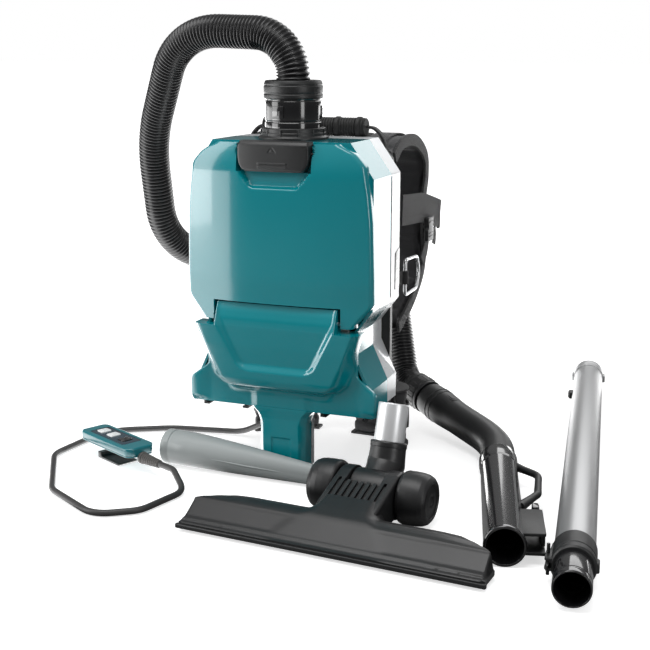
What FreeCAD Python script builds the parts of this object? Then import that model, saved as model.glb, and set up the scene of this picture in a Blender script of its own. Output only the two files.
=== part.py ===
import FreeCAD, Part
import math
import os
import re
from FreeCAD import Placement, Rotation, Vector

# Backpack vacuum cleaner with its hose, handle, floor nozzle, wand, crevice
# tool and belt controller, standing as it is set out on a floor.
# Row frame: origin at the centre of the foot's sole, +X to the viewer's
# right, -Y towards the front cover, +Z up.  Millimetres.

DRIVING = {
    # housings, seen from the front
    "wall": 3.0, "body_top": 373.0, "body_half": 106.0, "shoulder_half": 80.0,
    "shoulder_low": 336.0, "side_low": 195.0, "waist_half": 86.0, "waist_high": 168.0,
    "waist_low": 145.0, "skirt_half": 104.0, "skirt_high": 106.0, "skirt_low": 78.0,
    # housings, seen from the side
    "cover_front": -27.0, "body_front": -12.0, "body_back": 47.0, "rear_back": 80.0,
    "bulge_front": -33.0, "flange_front": -15.0, "floor_of_chamber": 202.0,
    # front cover, its hinge and its latch
    "cover_half": 112.0, "tab_half": 73.0, "tab_top": 197.0, "tab_gap": 1.5,
    "tab_sweep_r": 18.6,
    "cover_foot": 187.0, "hinge_y": -21.0, "hinge_z": 181.0, "hinge_pin_r": 2.5,
    "running": 0.05, "lug_r": 6.0, "latch_half": 44.0, "latch_low": 342.0,
    "latch_top": 374.0, "latch_front": -31.0, "latch_pivot_y": -24.0,
    "latch_pivot_z": 361.0, "latch_pin_r": 1.5,
    # leg and foot
    "leg_half": 27.5, "leg_front": -17.0, "leg_back_y": 19.0, "leg_split": 8.0,
    "foot_thick": 3.0, "foot_half": 22.0, "foot_front": -14.0, "foot_back": 14.0,
    # inlet port and cuff
    "port_y": 25.0, "inlet_r": 19.0, "port_bore": 31.0, "port_high": 385.6, "cuff_high": 416.8,
    "cuff_bore": 26.0, "swivel_r": 32.3, "swivel_low": 417.0, "swivel_high": 436.0,
    "swivel_bore": 28.0, "hose_r": 18.0, "hose_bore_r": 15.0,
    # motor and fan
    "motor_y": 7.0, "motor_r": 34.0, "motor_low": 105.0, "motor_high": 167.0,
    "shaft_r": 4.0, "bearing_r": 9.0, "fan_r": 29.0,
    # harness
    "plate_half": 95.0, "plate_low": 50.0, "plate_high": 362.0, "plate_back": 88.0,
    "pad_thick": 19.0, "strap_thick": 12.0, "strap_in": 38.0, "strap_out": 92.5,
    "grip_r": 10.5, "grip_half": 62.0, "grip_y": 88.0, "grip_z": 383.0,
    "ring_wire": 2.0, "ring_x": 97.3, "ring_y": 127.0,
    # curved handle
    "mouth_x": 292.0, "mouth_y": -170.0, "handle_z": 20.5, "handle_yaw": 15.0,
    "socket_r": 20.0, "socket_bore": 17.6, "socket_long": 240.0, "collar_r": 24.0,
    "collar_long": 30.0,
    # floor nozzle
    "nozzle_x": 131.0, "nozzle_y": -178.0, "nozzle_yaw": -4.5, "nozzle_long": 320.0,
    "barrel_back": 80.0, "barrel_z": 28.0, "barrel_r": 27.5, "axle_r": 5.0,
    "neck_tilt": 25.0, "elbow_reach": 38.0, "elbow_r": 20.0, "pipe_tilt": 72.0,
    "stub_r": 16.0, "stub_low": 26.0, "stub_high": 66.0,
    # wand
    "wand_x": 366.0, "wand_y": -240.0, "wand_yaw": 8.3, "wand_long": 715.0,
    "wand_r": 19.0, "wand_z": 21.5, "spigot_r": 17.5, "spigot_long": 46.0,
    # crevice tool
    "tool_x": -138.0, "tool_y": -26.0, "tool_z": 20.5, "tool_long": 200.0,
    "tool_r": 20.0, "tool_bore": 17.6,
    # controller
    "box_x": -198.0, "box_y": -40.0, "box_yaw": -26.0, "box_long": 104.0,
    "box_wide": 38.0, "box_low": 8.0, "box_high": 29.0, "cable_r": 3.5,
}

doc = FreeCAD.newDocument("backpack_vacuum")
sheet = doc.addObject("Spreadsheet::Sheet", "Sizes")
for line, (alias, amount) in enumerate(DRIVING.items(), start=1):
    sheet.set("A%d" % line, alias)
    sheet.set("B%d" % line, str(amount))
    sheet.setAlias("B%d" % line, alias)
doc.recompute()


class Sizes:
    """The sheet's cells, read back as numbers."""


for alias in DRIVING:
    setattr(Sizes, alias, float(sheet.get(alias)))
S = Sizes
NODES = {}


# ---------------------------------------------------------------- helpers

def formula(text):
    """Turn cell aliases in an expression into references to the sheet."""
    def reference(match):
        word = match.group(0)
        return "Sizes." + word if word in DRIVING else word
    return re.sub(r"[a-z][a-z_0-9]*", reference, str(text))


def bind(thing, **sizes):
    """Bind properties of an object to expressions of the sheet's cells."""
    for name, text in sizes.items():
        thing.setExpression(name, formula(text))
    return thing


def place(thing, at, turn=None):
    """Bind an object's position, and turn it by (axis, angle)."""
    if turn:
        axis, angle = turn
        thing.Placement = Placement(Vector(0, 0, 0), Rotation(Vector(*axis), angle))
    for letter, text in zip("xyz", at):
        thing.setExpression("Placement.Base." + letter, formula(text))
    return thing


def node(label, thing):
    """Name the finished object of one sub-part."""
    thing.Label = label
    NODES[label] = thing
    return thing


def box(label, size, at, turn=None):
    thing = doc.addObject("Part::Box", label)
    bind(thing, Length=size[0], Width=size[1], Height=size[2])
    return place(thing, at, turn)


def rod(label, radius, height, at, turn=None):
    thing = doc.addObject("Part::Cylinder", label)
    bind(thing, Radius=radius, Height=height)
    return place(thing, at, turn)


def fuse(label, parts):
    thing = doc.addObject("Part::MultiFuse", label)
    thing.Shapes = parts
    return thing


def cut(label, base, tools):
    """Take one or several tools away from a base."""
    tool = tools[0] if len(tools) == 1 else fuse(label + "_tools", tools)
    thing = doc.addObject("Part::Cut", label)
    thing.Base = base
    thing.Tool = tool
    return thing


def feature(label, shape, at=None):
    thing = doc.addObject("Part::Feature", label)
    thing.Shape = shape
    if at:
        thing.Placement = at
    return thing


def mirrored(half):
    """Close a right-hand half outline with its mirror image."""
    right = [p for p in half if p[0] > 0]
    return right + [(-u, v) for u, v in reversed(right)]


def inset(points, depth):
    """Move each side of a closed outline inwards by depth."""
    count = len(points)
    area = sum(points[i][0] * points[(i + 1) % count][1]
               - points[(i + 1) % count][0] * points[i][1] for i in range(count))
    side = 1.0 if area > 0 else -1.0
    lines = []
    for i in range(count):
        (u0, v0), (u1, v1) = points[i], points[(i + 1) % count]
        long = math.hypot(u1 - u0, v1 - v0)
        lines.append((-(v1 - v0) / long * side, (u1 - u0) / long * side, u0, v0))
    moved = []
    for i in range(count):
        a, b, u0, v0 = lines[i - 1]
        c, d, u1, v1 = lines[i]
        first = a * u0 + b * v0 + depth
        second = c * u1 + d * v1 + depth
        cross = a * d - b * c
        moved.append(((first * d - b * second) / cross, (a * second - first * c) / cross))
    return moved


def origin_plane(body, role):
    return next(f for f in body.Origin.OriginFeatures if f.Role == role)


def body(label):
    thing = doc.addObject("PartDesign::Body", label)
    thing.Label = label + "_body"
    return thing


def sketch(owner, role, level, outlines):
    """A sketch on one of the body's own planes, moved along its normal."""
    drawing = owner.newObject("Sketcher::SketchObject", owner.Name + "_sketch")
    drawing.AttachmentSupport = (origin_plane(owner, role), [""])
    drawing.MapMode = "FlatFace"
    drawing.setExpression("AttachmentOffset.Base.z", formula(level))
    for outline in outlines:
        corners = [Vector(u, v, 0) for u, v in outline]
        for a, b in zip(corners, corners[1:] + corners[:1]):
            drawing.addGeometry(Part.LineSegment(a, b), False)
    return drawing


def pad(owner, role, level, depth, outlines, back=False):
    thing = owner.newObject("PartDesign::Pad", owner.Name + "_pad")
    thing.Profile = sketch(owner, role, level, outlines)
    bind(thing, Length=depth)
    thing.Reversed = back
    return thing


def pocket(owner, role, level, depth, outlines, back=False):
    thing = owner.newObject("PartDesign::Pocket", owner.Name + "_pocket")
    thing.Profile = sketch(owner, role, level, outlines)
    bind(thing, Length=depth)
    thing.Reversed = back
    return thing


def slab(label, outlines, front, back):
    """A flat piece drawn in front view, padded from front to back in Y."""
    owner = body(label)
    pad(owner, "XZ_Plane", "-(%s)" % front, "(%s)-(%s)" % (back, front), outlines, back=True)
    return owner


def hollow(owner, outlines, front, back):
    """Take a front-view outline out of a slab between two Y levels."""
    return pocket(owner, "XZ_Plane", "-(%s)" % front, "(%s)-(%s)" % (back, front), outlines)


def turned(label, profile, at=("0", "0", "0"), turn=None):
    """A PartDesign revolution about its own Z axis; profile is (radius, height)."""
    owner = body(label)
    spin = owner.newObject("PartDesign::Revolution", label + "_turn")
    spin.Profile = sketch(owner, "XZ_Plane", "0", [profile])
    spin.ReferenceAxis = (spin.Profile[0], ["V_Axis"])
    spin.Angle = 360.0
    return place(owner, at, turn)


def rounded_path(start, corners, end):
    """Straight runs joined by arcs; each corner is (x, y, z, radius)."""
    edges = []
    here = Vector(*start)
    spots = [Vector(*c[:3]) for c in corners] + [Vector(*end)]
    for i, corner in enumerate(corners):
        spot = spots[i]
        arriving = (spot - here).normalize()
        leaving = (spots[i + 1] - spot).normalize()
        half = arriving.getAngle(leaving) / 2
        reach = corner[3] * math.tan(half)
        first = spot - arriving * reach
        last = spot + leaving * reach
        inward = (leaving - arriving).normalize()
        middle = spot + inward * corner[3] * (1 / math.cos(half) - 1)
        edges.append(Part.makeLine(here, first))
        edges.append(Part.Arc(first, middle, last).toShape())
        here = last
    edges.append(Part.makeLine(here, spots[-1]))
    return edges


def pipe(edges, radius, bore=0.0):
    """A round pipe along straight and arc edges."""
    def swept(size):
        parts = []
        for edge in edges:
            at = edge.valueAt(edge.FirstParameter)
            heading = edge.tangentAt(edge.FirstParameter)
            disc = Part.Face(Part.Wire([Part.Circle(at, heading, size).toShape()]))
            if edge.Curve.TypeId == "Part::GeomLine":
                parts.append(disc.extrude(heading * edge.Length))
            else:
                curve = edge.Curve
                turn = math.degrees(edge.Length / curve.Radius)
                parts.append(disc.revolve(curve.Center, curve.Axis, turn))
        return parts[0].multiFuse(parts[1:]) if len(parts) > 1 else parts[0]
    outer = swept(radius)
    return outer.cut(swept(bore)) if bore else outer


def ribbon(points, thick, low, high, role="YZ"):
    """A flat strap: a curve in one plane, given thickness, pushed through."""
    curve = Part.BSplineCurve()
    curve.interpolate([Vector(u, v, 0) for u, v in points])
    steps = 12 * (len(points) - 1)
    near, far = [], []
    for i in range(steps + 1):
        t = curve.FirstParameter + (curve.LastParameter - curve.FirstParameter) * i / steps
        spot = curve.value(t)
        along = curve.tangent(t)[0]
        side = Vector(-along.y, along.x, 0) * (thick / 2)
        near.append(spot + side)
        far.append(spot - side)
    flat = near + far[::-1]
    if role == "YZ":
        corners = [Vector(low, p.x, p.y) for p in flat]
        push = Vector(high - low, 0, 0)
    elif role == "XZ":
        corners = [Vector(p.x, low, p.y) for p in flat]
        push = Vector(0, high - low, 0)
    else:
        corners = [Vector(p.x, p.y, low) for p in flat]
        push = Vector(0, 0, high - low)
    return Part.Face(Part.makePolygon(corners + corners[:1])).extrude(push)


def flip_x(shape):
    """The left-hand twin of a right-hand shape."""
    return shape.mirror(Vector(0, 0, 0), Vector(1, 0, 0))


def pair(shape):
    return Part.makeCompound([shape, flip_x(shape)])


def soft(shape, radius):
    return shape.makeFillet(radius, shape.Edges)


# ---------------------------------------------------------------- outlines

BODY_HALF = [(0, S.body_top), (S.shoulder_half, S.body_top), (S.body_half, S.shoulder_low),
             (S.body_half, S.side_low), (S.waist_half, S.waist_high),
             (S.waist_half, S.waist_low), (S.skirt_half, S.skirt_high),
             (S.skirt_half, S.skirt_low), (0, S.skirt_low)]
CHAMBER_HALF = BODY_HALF[:3] + [(S.body_half, S.floor_of_chamber), (0, S.floor_of_chamber)]
MOTOR_ROOM_HALF = [(0, S.floor_of_chamber)] + [(S.body_half, S.floor_of_chamber)] + BODY_HALF[3:]
COVER_HALF = [(0, S.body_top), (68, 371), (88, 363), (99, 350), (107, 318), (S.cover_half, 290),
              (S.cover_half, 202), (98, S.cover_foot), (S.tab_half + S.tab_gap, S.cover_foot),
              (S.tab_half + S.tab_gap, S.tab_top + S.tab_gap), (0, S.tab_top + S.tab_gap)]
BULGE_HALF = [(0, S.tab_top), (S.tab_half, S.tab_top), (S.tab_half, 168), (62, 117), (45, 101),
              (0, 101)]
SKIRT_HALF = [(0, 174.5), (97, 174.5), (89, 152), (89, 121), (111, 106), (111, 77), (0, 77)]


# ---------------------------------------------------------------- housings

def build_main_housing():
    shell = slab("main_housing", [mirrored(BODY_HALF)], "body_front", "body_back")
    mouth = mirrored([(0, 360), (56, 360), (86, 341), (94, 316), (94, 215), (0, 215)])
    hollow(shell, [mouth], "body_front", "body_front + wall")
    for room, front in ((CHAMBER_HALF, "body_front + wall"), (MOTOR_ROOM_HALF, "body_front")):
        hollow(shell, [inset(mirrored(room), S.wall)], front, "body_back - wall")
    neck = rod("port_hole", "inlet_r", "4*wall", ("0", "port_y", "body_top - 2*wall"))
    exhaust = box("exhaust_hole", ("60", "3*wall", "40"), ("-30", "body_back - 2*wall", "100"))
    air = rod("filter_air_hole", "14", "20", ("0", "16", "floor_of_chamber - 10"))
    node("main_housing", cut("main_housing", shell, [neck, exhaust, air]))


def build_chamber_seal():
    outer = mirrored([(0, 366), (62, 366), (91, 344), (100, 318), (100, 209), (0, 209)])
    node("chamber_seal", slab("chamber_seal", [outer, inset(outer, 4)], "body_front - 4",
                              "body_front"))


def build_lower_housing():
    skin = slab("lower_skirt", [mirrored(SKIRT_HALF)], "flange_front", "body_front")
    bulge = slab("lower_bulge", [mirrored(BULGE_HALF)], "bulge_front", "flange_front")
    hollow(bulge, [inset(mirrored(BULGE_HALF), S.wall)], "bulge_front + wall", "flange_front")
    leg = body("leg")
    face = S.leg_half - 6.5
    plan = mirrored([(0, S.leg_front), (face, S.leg_front), (S.leg_half, S.leg_front + 6.5),
                     (S.leg_half, S.leg_split), (0, S.leg_split)])
    pad(leg, "XY_Plane", "foot_thick", "skirt_low - foot_thick", [plan])
    pins = [rod("pin_seat", "hinge_pin_r", "30", (x, "hinge_y", "hinge_z"), ((0, 1, 0), 90))
            for x in ("69", "-99")]
    whole = fuse("lower_whole", [skin, bulge, leg])
    throat = mirrored([(0, 170), (38, 170), (38, 104), (0, 104)])
    window = slab("motor_window", [throat], "flange_front - 1", "body_front + 1")
    brow = [Vector(-75, y, z) for y, z in ((-34, 193.9), (-28.3, 198), (-34, 198))]
    swept = Part.Face(Part.makePolygon(brow + brow[:1])).extrude(Vector(150, 0, 0))
    rounding = feature("tab_brow", swept)
    node("lower_housing", cut("lower_housing", whole, pins + [window, rounding]))
    node("leg_back", box("leg_back", ("2*leg_half - 3", "leg_back_y - leg_split",
                                      "skirt_low - 6"), ("1.5 - leg_half", "leg_split", "6")))
    foot = box("foot_pad", ("2*foot_half", "foot_back - foot_front", "foot_thick"),
               ("-foot_half", "foot_front", "0"))
    node("foot_pad", foot)


def build_rear_housing():
    half = [(u - 1 if u > 0 else 0, v) for u, v in BODY_HALF]
    shell = slab("rear_shell", [mirrored(half)], "body_back", "rear_back")
    hollow(shell, [inset(mirrored(half), S.wall)], "body_back", "rear_back - wall")
    slots = []
    for step in range(8):
        for side in (1, -1):
            x = side * (40 + 7 * step) - 1.5
            slots.append(box("exhaust_slot", ("3", "16", "3*wall"),
                             ("%g" % x, "body_back + 9", "skirt_low - wall")))
    node("rear_housing", cut("rear_housing", shell, slots))


def build_port():
    inner = S.inlet_r
    profile = [(inner, S.body_top), (38, S.body_top), (38, 376), (35, 378), (35, S.port_high),
               (S.port_bore, S.port_high), (S.port_bore, 376.3), (inner - 3, 376.3), (inner - 3, 356),
               (inner - 0.1, 356), (inner - 0.1, S.body_top)]
    node("hose_port", turned("hose_port", profile, ("0", "port_y", "0")))
    cuff = [(S.cuff_bore, 377), (S.port_bore - S.running, 377),
            (S.port_bore - S.running, S.cuff_high), (S.cuff_bore, S.cuff_high)]
    node("hose_cuff", turned("hose_cuff", cuff, ("0", "port_y", "0")))
    ring = [(S.swivel_bore, S.swivel_low), (S.swivel_r, S.swivel_low), (S.swivel_r, 431),
            (30, S.swivel_high), (S.swivel_bore, S.swivel_high)]
    node("cuff_ring", turned("cuff_ring", ring, ("0", "port_y", "0")))


# ---------------------------------------------------------------- cover

def build_cover():
    outline = mirrored(COVER_HALF)
    shell = slab("cover_shell", [outline], "cover_front + wall", "body_front")
    crown = shell.newObject("PartDesign::AdditiveLoft", "cover_crown")
    crown.Profile = sketch(shell, "XZ_Plane", "-(cover_front + wall)", [outline])
    crown.Sections = [sketch(shell, "XZ_Plane", "-cover_front", [inset(outline, S.wall)])]
    crown.Ruled = True
    hollow(shell, [inset(outline, S.wall)], "cover_front + wall", "body_front")
    added = []
    for x in (76, -92):
        added.append(rod("hinge_lug", "lug_r", "16", ("%g" % x, "hinge_y", "hinge_z"),
                         ((0, 1, 0), 90)))
        added.append(box("lug_block", ("16", "12", "8"), ("%g" % x, "hinge_y - lug_r",
                                                         "hinge_z + 1")))
    wide = "2*latch_half + 9"
    added.append(box("latch_wall", (wide, "3", "31.5"), ("-latch_half - 4.5", "-19.5", "336")))
    added.append(box("latch_sill", (wide, "9.5", "3"), ("-latch_half - 4.5", "-26", "336")))
    for x in ("latch_half + 1.5", "-latch_half - 4.5"):
        added.append(box("latch_cheek", ("3", "9.5", "35"), (x, "-26", "336")))
    pocketed = [box("latch_seat", ("2*latch_half + 3", "10", "45"),
                    ("-latch_half - 1.5", "-29.5", "339")),
                box("latch_top_cut", ("2*latch_half + 3", "15", "20"),
                    ("-latch_half - 1.5", "-29.5", "367.5"))]
    pocketed.insert(2, rod("tab_sweep", "tab_sweep_r", "2*(tab_half + tab_gap)",
                           ("-tab_half - tab_gap", "hinge_y", "hinge_z"), ((0, 1, 0), 90)))
    for x in ("19", "-29"):
        pocketed.append(box("hook_slot", ("10", "10", "21"), (x, "-23", "341")))
    for x, z, radius in (("75", "hinge_z", "hinge_pin_r + running"),
                         ("-93", "hinge_z", "hinge_pin_r + running")):
        pocketed.append(rod("lug_bore", radius, "18", (x, "hinge_y", z), ((0, 1, 0), 90)))
    for x in ("latch_half + 1", "-latch_half - 5"):
        pocketed.append(rod("latch_bore", "latch_pin_r + running", "4",
                            (x, "latch_pivot_y", "latch_pivot_z"), ((0, 1, 0), 90)))
    base = cut("cover_seated", shell, pocketed[:3])
    joined = fuse("cover_joined", [base] + added)
    node("front_cover", cut("front_cover", joined, pocketed[3:]))
    pins = [rod("hinge_pin", "hinge_pin_r", "23", (x, "hinge_y", "hinge_z"), ((0, 1, 0), 90))
            for x in ("69", "-92")]
    node("hinge_pins", fuse("hinge_pins", pins))


def build_latch():
    across = "2*latch_half"
    parts = [box("latch_plate", (across, "9", "latch_top - 4 - latch_low"),
                 ("-latch_half", "latch_front", "latch_low")),
             box("latch_roof", (across, "14", "4"), ("-latch_half", "latch_front",
                                                    "latch_top - 4")),
             rod("latch_pin", "latch_pin_r", "2*latch_half + 8",
                 ("-latch_half - 4", "latch_pivot_y", "latch_pivot_z"), ((0, 1, 0), 90))]
    for x in ("21", "-27"):
        parts.append(box("hook_arm", ("6", "18", "4"), (x, "-23", "350")))
        parts.append(box("hook_tip", ("6", "3", "9.4"), (x, "-8", "350")))
    for z in ("latch_low + 5", "latch_low + 10"):
        parts.append(box("latch_ridge", ("50", "1.2", "1.6"), ("-25", "latch_front - 1.2", z)))
    node("latch", fuse("latch", parts))


# ---------------------------------------------------------------- inside

def build_inside():
    bag = soft(Part.makeBox(150, 40, 128, Vector(-75, -3, 216)), 16)
    collar = Part.makeCylinder(18, 8, Vector(0, S.port_y, 343.5))
    card = Part.makeBox(100, 36, 2.5, Vector(-50, 4, 349))
    bag = bag.fuse(collar).fuse(card).removeSplitter()
    bag = bag.cut(Part.makeCylinder(15, 30, Vector(0, S.port_y, 335)))
    node("dust_bag", feature("dust_bag", bag))
    frame = Part.makeBox(152, 44, 26, Vector(-76, -4, 170))
    frame = frame.cut(Part.makeBox(142, 36, 30, Vector(-71, 0, 172)))
    frame = frame.cut(Part.makeBox(132, 30, 10, Vector(-66, 3, 165)))
    count = 30
    pitch = 142.0 / count
    zigzag = [Vector(-71 + pitch * i / 2.0, 0, 195 if i % 2 else 187)
              for i in range(2 * count + 1)]
    under = [v - Vector(0, 0, 13) for v in reversed(zigzag)]
    fold = Part.Face(Part.makePolygon(zigzag + under + zigzag[:1]))
    pleats = fold.extrude(Vector(0, 36, 0))
    node("hepa_filter", feature("hepa_filter", frame.fuse(pleats)))


def build_motor():
    low, high, r = S.motor_low, S.motor_high, S.motor_r
    at = ("0", "motor_y", "0")
    seat = S.bearing_r
    case = [(0, low), (r, low), (r, high - 3), (r - 3, high - 3), (r - 3, low + 3),
            (seat + 3, low + 3), (seat + 3, low + 9), (seat, low + 9), (seat, low + 2), (0, low + 2)]
    node("motor_case", turned("motor_case", case, at))
    cap = [(seat + 8, high - 3), (r, high - 3), (r, high), (seat + 8, high)]
    node("motor_cap", turned("motor_cap", cap, at))
    bore = S.shaft_r + S.running
    lower = turned("lower_bearing", [(bore, low + 2), (seat, low + 2), (seat, low + 9),
                                     (bore, low + 9)], at)
    node("motor_bearing", lower)
    node("motor_stator", turned("motor_stator", [(22, low + 12), (r - 3, low + 12), (r - 3, low + 38),
                                          (22, low + 38)], at))
    rotor = [(0, low + 2.5), (S.shaft_r, low + 2.5), (S.shaft_r, low + 13), (21, low + 13),
             (21, low + 37), (S.shaft_r, low + 37), (S.shaft_r, low + 43), (S.fan_r, low + 43),
             (S.fan_r, low + 45), (16, low + 50), (10, low + 58), (0, low + 58)]
    node("motor_rotor", turned("motor_rotor", rotor, at))
    mounts = [turned("mount_ring", [(r, z), (r + 2, z), (r + 2, z + 6), (r, z + 6)], at)
              for z in (low + 2, high - 10)]
    node("motor_mounts", fuse("motor_mounts", mounts))
    board = [box("board", ("110", "2", "50"), ("-55", "body_back + 5", "140"))]
    for x, tall in ((-45, 9), (-20, 14), (8, 7), (30, 11)):
        board.append(box("component", ("14", "%g" % tall, "18"), ("%g" % x, "body_back + 7",
                                                               "155")))
    node("control_board", fuse("control_board", board))
    foam = soft(Part.makeBox(170, 20, 120, Vector(-85, 54, 205)), 4)
    node("exhaust_foam", feature("exhaust_foam", foam))


def build_battery_rails():
    """Two rails with inward lips per bay, and the bay's contact block."""
    top, tall, long, front = S.skirt_low, 7.5, 78, -8
    solids = []
    for rail, lip in ((46, 1), (98, -1)):
        web = Part.makeBox(4, long, tall, Vector(rail - 2, front, top - tall))
        edge = Part.makeBox(3.2, long, 2.5, Vector(rail + lip * 3.5 - 1.6, front, top - tall))
        solids.append(web.fuse(edge).removeSplitter())
    solids.append(Part.makeBox(30, 12, 14, Vector(57, 56, top - 14)))
    right = Part.makeCompound(solids)
    node("battery_rails", feature("battery_rails", pair(right)))


def build_screws():
    heads = [rod("screw", "3.5", "2", (x, y, "skirt_low - 2"))
             for x in ("74", "-74") for y in ("2", "40")]
    node("housing_screws", fuse("housing_screws", heads))


# ---------------------------------------------------------------- harness

def build_back():
    low, high, half = S.plate_low, S.plate_high, S.plate_half
    outline = mirrored([(0, high), (half - 12, high), (half, high - 12), (half, low + 12),
                        (half - 12, low), (0, low)])
    node("back_plate", slab("back_plate", [outline], "rear_back", "plate_back"))
    pad_shape = Part.makeBox(156, S.pad_thick, 190, Vector(-78, S.plate_back + 1, 150))
    node("back_pad", feature("back_pad", soft(pad_shape, 8)))
    hip = Part.makeBox(180, S.pad_thick, 86, Vector(-90, S.plate_back + 1, 42))
    node("hip_pad", feature("hip_pad", soft(hip, 8)))


def build_belts():
    path = [(86, 119), (94, 134), (84, 150), (56, 158), (22, 160)]
    right = ribbon(path, 14, 0.0, 72.0, "XY")
    node("hip_belts", feature("hip_belts", pair(right)))


def build_straps():
    path = [(100, 349), (130, 364), (178, 363), (218, 343), (224, 318), (216, 292), (214, 255),
            (220, 226), (212, 200), (182, 176), (146, 158), (121, 148)]
    right = ribbon(path, S.strap_thick, S.strap_in, S.strap_out)
    anchor = Part.makeBox(S.strap_out - S.strap_in, 11, 14,
                          Vector(S.strap_in, S.plate_back + 0.2, 343.5))
    right = right.fuse(anchor).removeSplitter()
    node("shoulder_straps", feature("shoulder_straps", pair(right)))
    band = [(122, 306), (200, 300), (278, 282), (280, 245), (200, 262), (122, 268)]
    corners = [Vector(S.strap_out, y, z) for y, z in band]
    web = Part.Face(Part.makePolygon(corners + corners[:1])).extrude(Vector(2.5, 0, 0))
    node("chest_straps", feature("chest_straps", pair(web)))
    buckle = Part.makeBox(6, 24, 34, Vector(S.strap_out + 2.5, 206, 236))
    buckle = soft(buckle, 2)
    node("chest_buckles", feature("chest_buckles", pair(buckle)))


def build_ring():
    x, y, wire = S.ring_x, S.ring_y, S.ring_wire
    run = rounded_path((x, y, 208), [(x, y, 229, 5), (x, y + 44, 227, 8), (x, y + 54, 208, 14),
                                     (x, y + 44, 188, 8), (x, y, 187, 5)], (x, y, 208))
    node("d_ring", feature("d_ring", pipe(run, wire)))
    tab = Part.makeBox(2, 34, 16, Vector(93.1, S.plate_back, 200))
    eye = Part.makeCylinder(wire + 2, 16, Vector(x, y, 200))
    tab = tab.fuse(eye).cut(Part.makeCylinder(wire + S.running, 16, Vector(x, y, 200)))
    node("ring_tab", feature("ring_tab", tab.removeSplitter()))


def build_carry_grip():
    grip = rod("carry_grip", "grip_r", "2*grip_half", ("-grip_half", "grip_y", "grip_z"),
               ((0, 1, 0), 90))
    doc.recompute()
    rings = []
    for x in (-52, -26, 0, 26, 52):
        rings.append(rod("grip_rib", "grip_r + 1.2", "5", ("%g" % (x - 2.5), "grip_y", "grip_z"),
                         ((0, 1, 0), 90)))
    node("carry_grip", fuse("carry_grip_whole", [grip] + rings))
    path = [(S.grip_half + 0.8, S.grip_z), (74, 378), (82, 368), (84, S.plate_high - 4)]
    right = ribbon(path, 3, S.plate_back + 0.1, S.plate_back + 10, "XZ")
    node("carry_strap", feature("carry_strap", pair(right)))


# ---------------------------------------------------------------- hose and handle

def handle_place(z=0.0):
    return Placement(Vector(S.mouth_x, S.mouth_y, S.handle_z + z),
                     Rotation(Vector(0, 0, 1), S.handle_yaw))


HANDLE_START = (105, 209, 40)
HANDLE_HEADING = (40, -29, -10)


def build_hose():
    run = rounded_path((0, 25, 423),
                       [(0, S.port_y, 484, 48), (-150, 46, 490, 95), (-222, 105, 360, 200),
                        (-232, 150, 215, 90), (-150, 275, 190, 75), (22, 296, 196, 48),
                        (65, 238, 50, 34)], HANDLE_START)
    end = Part.makeCylinder(S.cuff_bore - S.running, 21.5, Vector(0, S.port_y, 396))
    end = end.fuse(Part.makeCylinder(S.swivel_bore - S.running, 5.5, Vector(0, S.port_y, 417.5)))
    end = end.cut(Part.makeCylinder(S.hose_bore_r, 40, Vector(0, S.port_y, 390)))
    hose = pipe(run, S.hose_r, S.hose_bore_r).fuse(end)
    node("hose", feature("hose", hose))


def build_handle():
    at = handle_place()
    socket_end = at.multVec(Vector(0, S.socket_long, 0))
    before = at.multVec(Vector(0, S.socket_long + 60, 0))
    heading = Vector(*HANDLE_HEADING).normalize()
    onward = Vector(*HANDLE_START) + heading * 48
    bend = rounded_path(HANDLE_START, [tuple(onward) + (110,), tuple(before) + (110,)],
                        tuple(socket_end))
    node("handle_grip", feature("handle_grip", pipe(bend, S.socket_r - 0.5, S.hose_bore_r)))
    centre = Vector(*HANDLE_START) - heading * (S.collar_long + 1)
    outer = Part.makeCylinder(S.collar_r - 3, S.collar_long, centre, heading)
    inner = Part.makeCylinder(S.hose_r + 0.4, S.collar_long, centre, heading)
    node("handle_collar", feature("handle_collar", outer.cut(inner)))
    long = S.socket_long
    tube = Part.makeCylinder(S.socket_r, long, Vector(0, 0, 0), Vector(0, 1, 0))
    tube = tube.cut(Part.makeCylinder(S.socket_bore, 90, Vector(0, 0, 0), Vector(0, 1, 0)))
    tube = tube.cut(Part.makeCylinder(S.hose_bore_r, long, Vector(0, 0, 0), Vector(0, 1, 0)))
    shape = tube
    node("handle_socket", feature("handle_socket", shape, at))
    hook = rounded_path((S.socket_r - 3, 224, 0), [(42, 196, 0, 18), (38, 140, 0, 10)],
                        (S.socket_r - 3, 116, 0))
    frame = pipe(hook, 4.0)
    block = Part.makeBox(16, 96, 30, Vector(S.socket_r - 2, 2, -15))
    block = block.fuse(frame)
    block = block.cut(Part.makeCylinder(S.socket_r, long, Vector(0, 0, 0), Vector(0, 1, 0)))
    seat = Part.makeBox(9, 14, 12, Vector(S.socket_r + 7, 88, -6))
    node("handle_lock", feature("handle_lock", block.cut(seat), at))
    button = Part.makeBox(7, 13.6, 11.6, Vector(S.socket_r + 9.4, 88.2, -5.8))
    node("handle_button", feature("handle_button", button, at))


# ---------------------------------------------------------------- floor nozzle

def nozzle_place():
    return Placement(Vector(S.nozzle_x, S.nozzle_y, 0), Rotation(Vector(0, 0, 1), S.nozzle_yaw))


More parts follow.
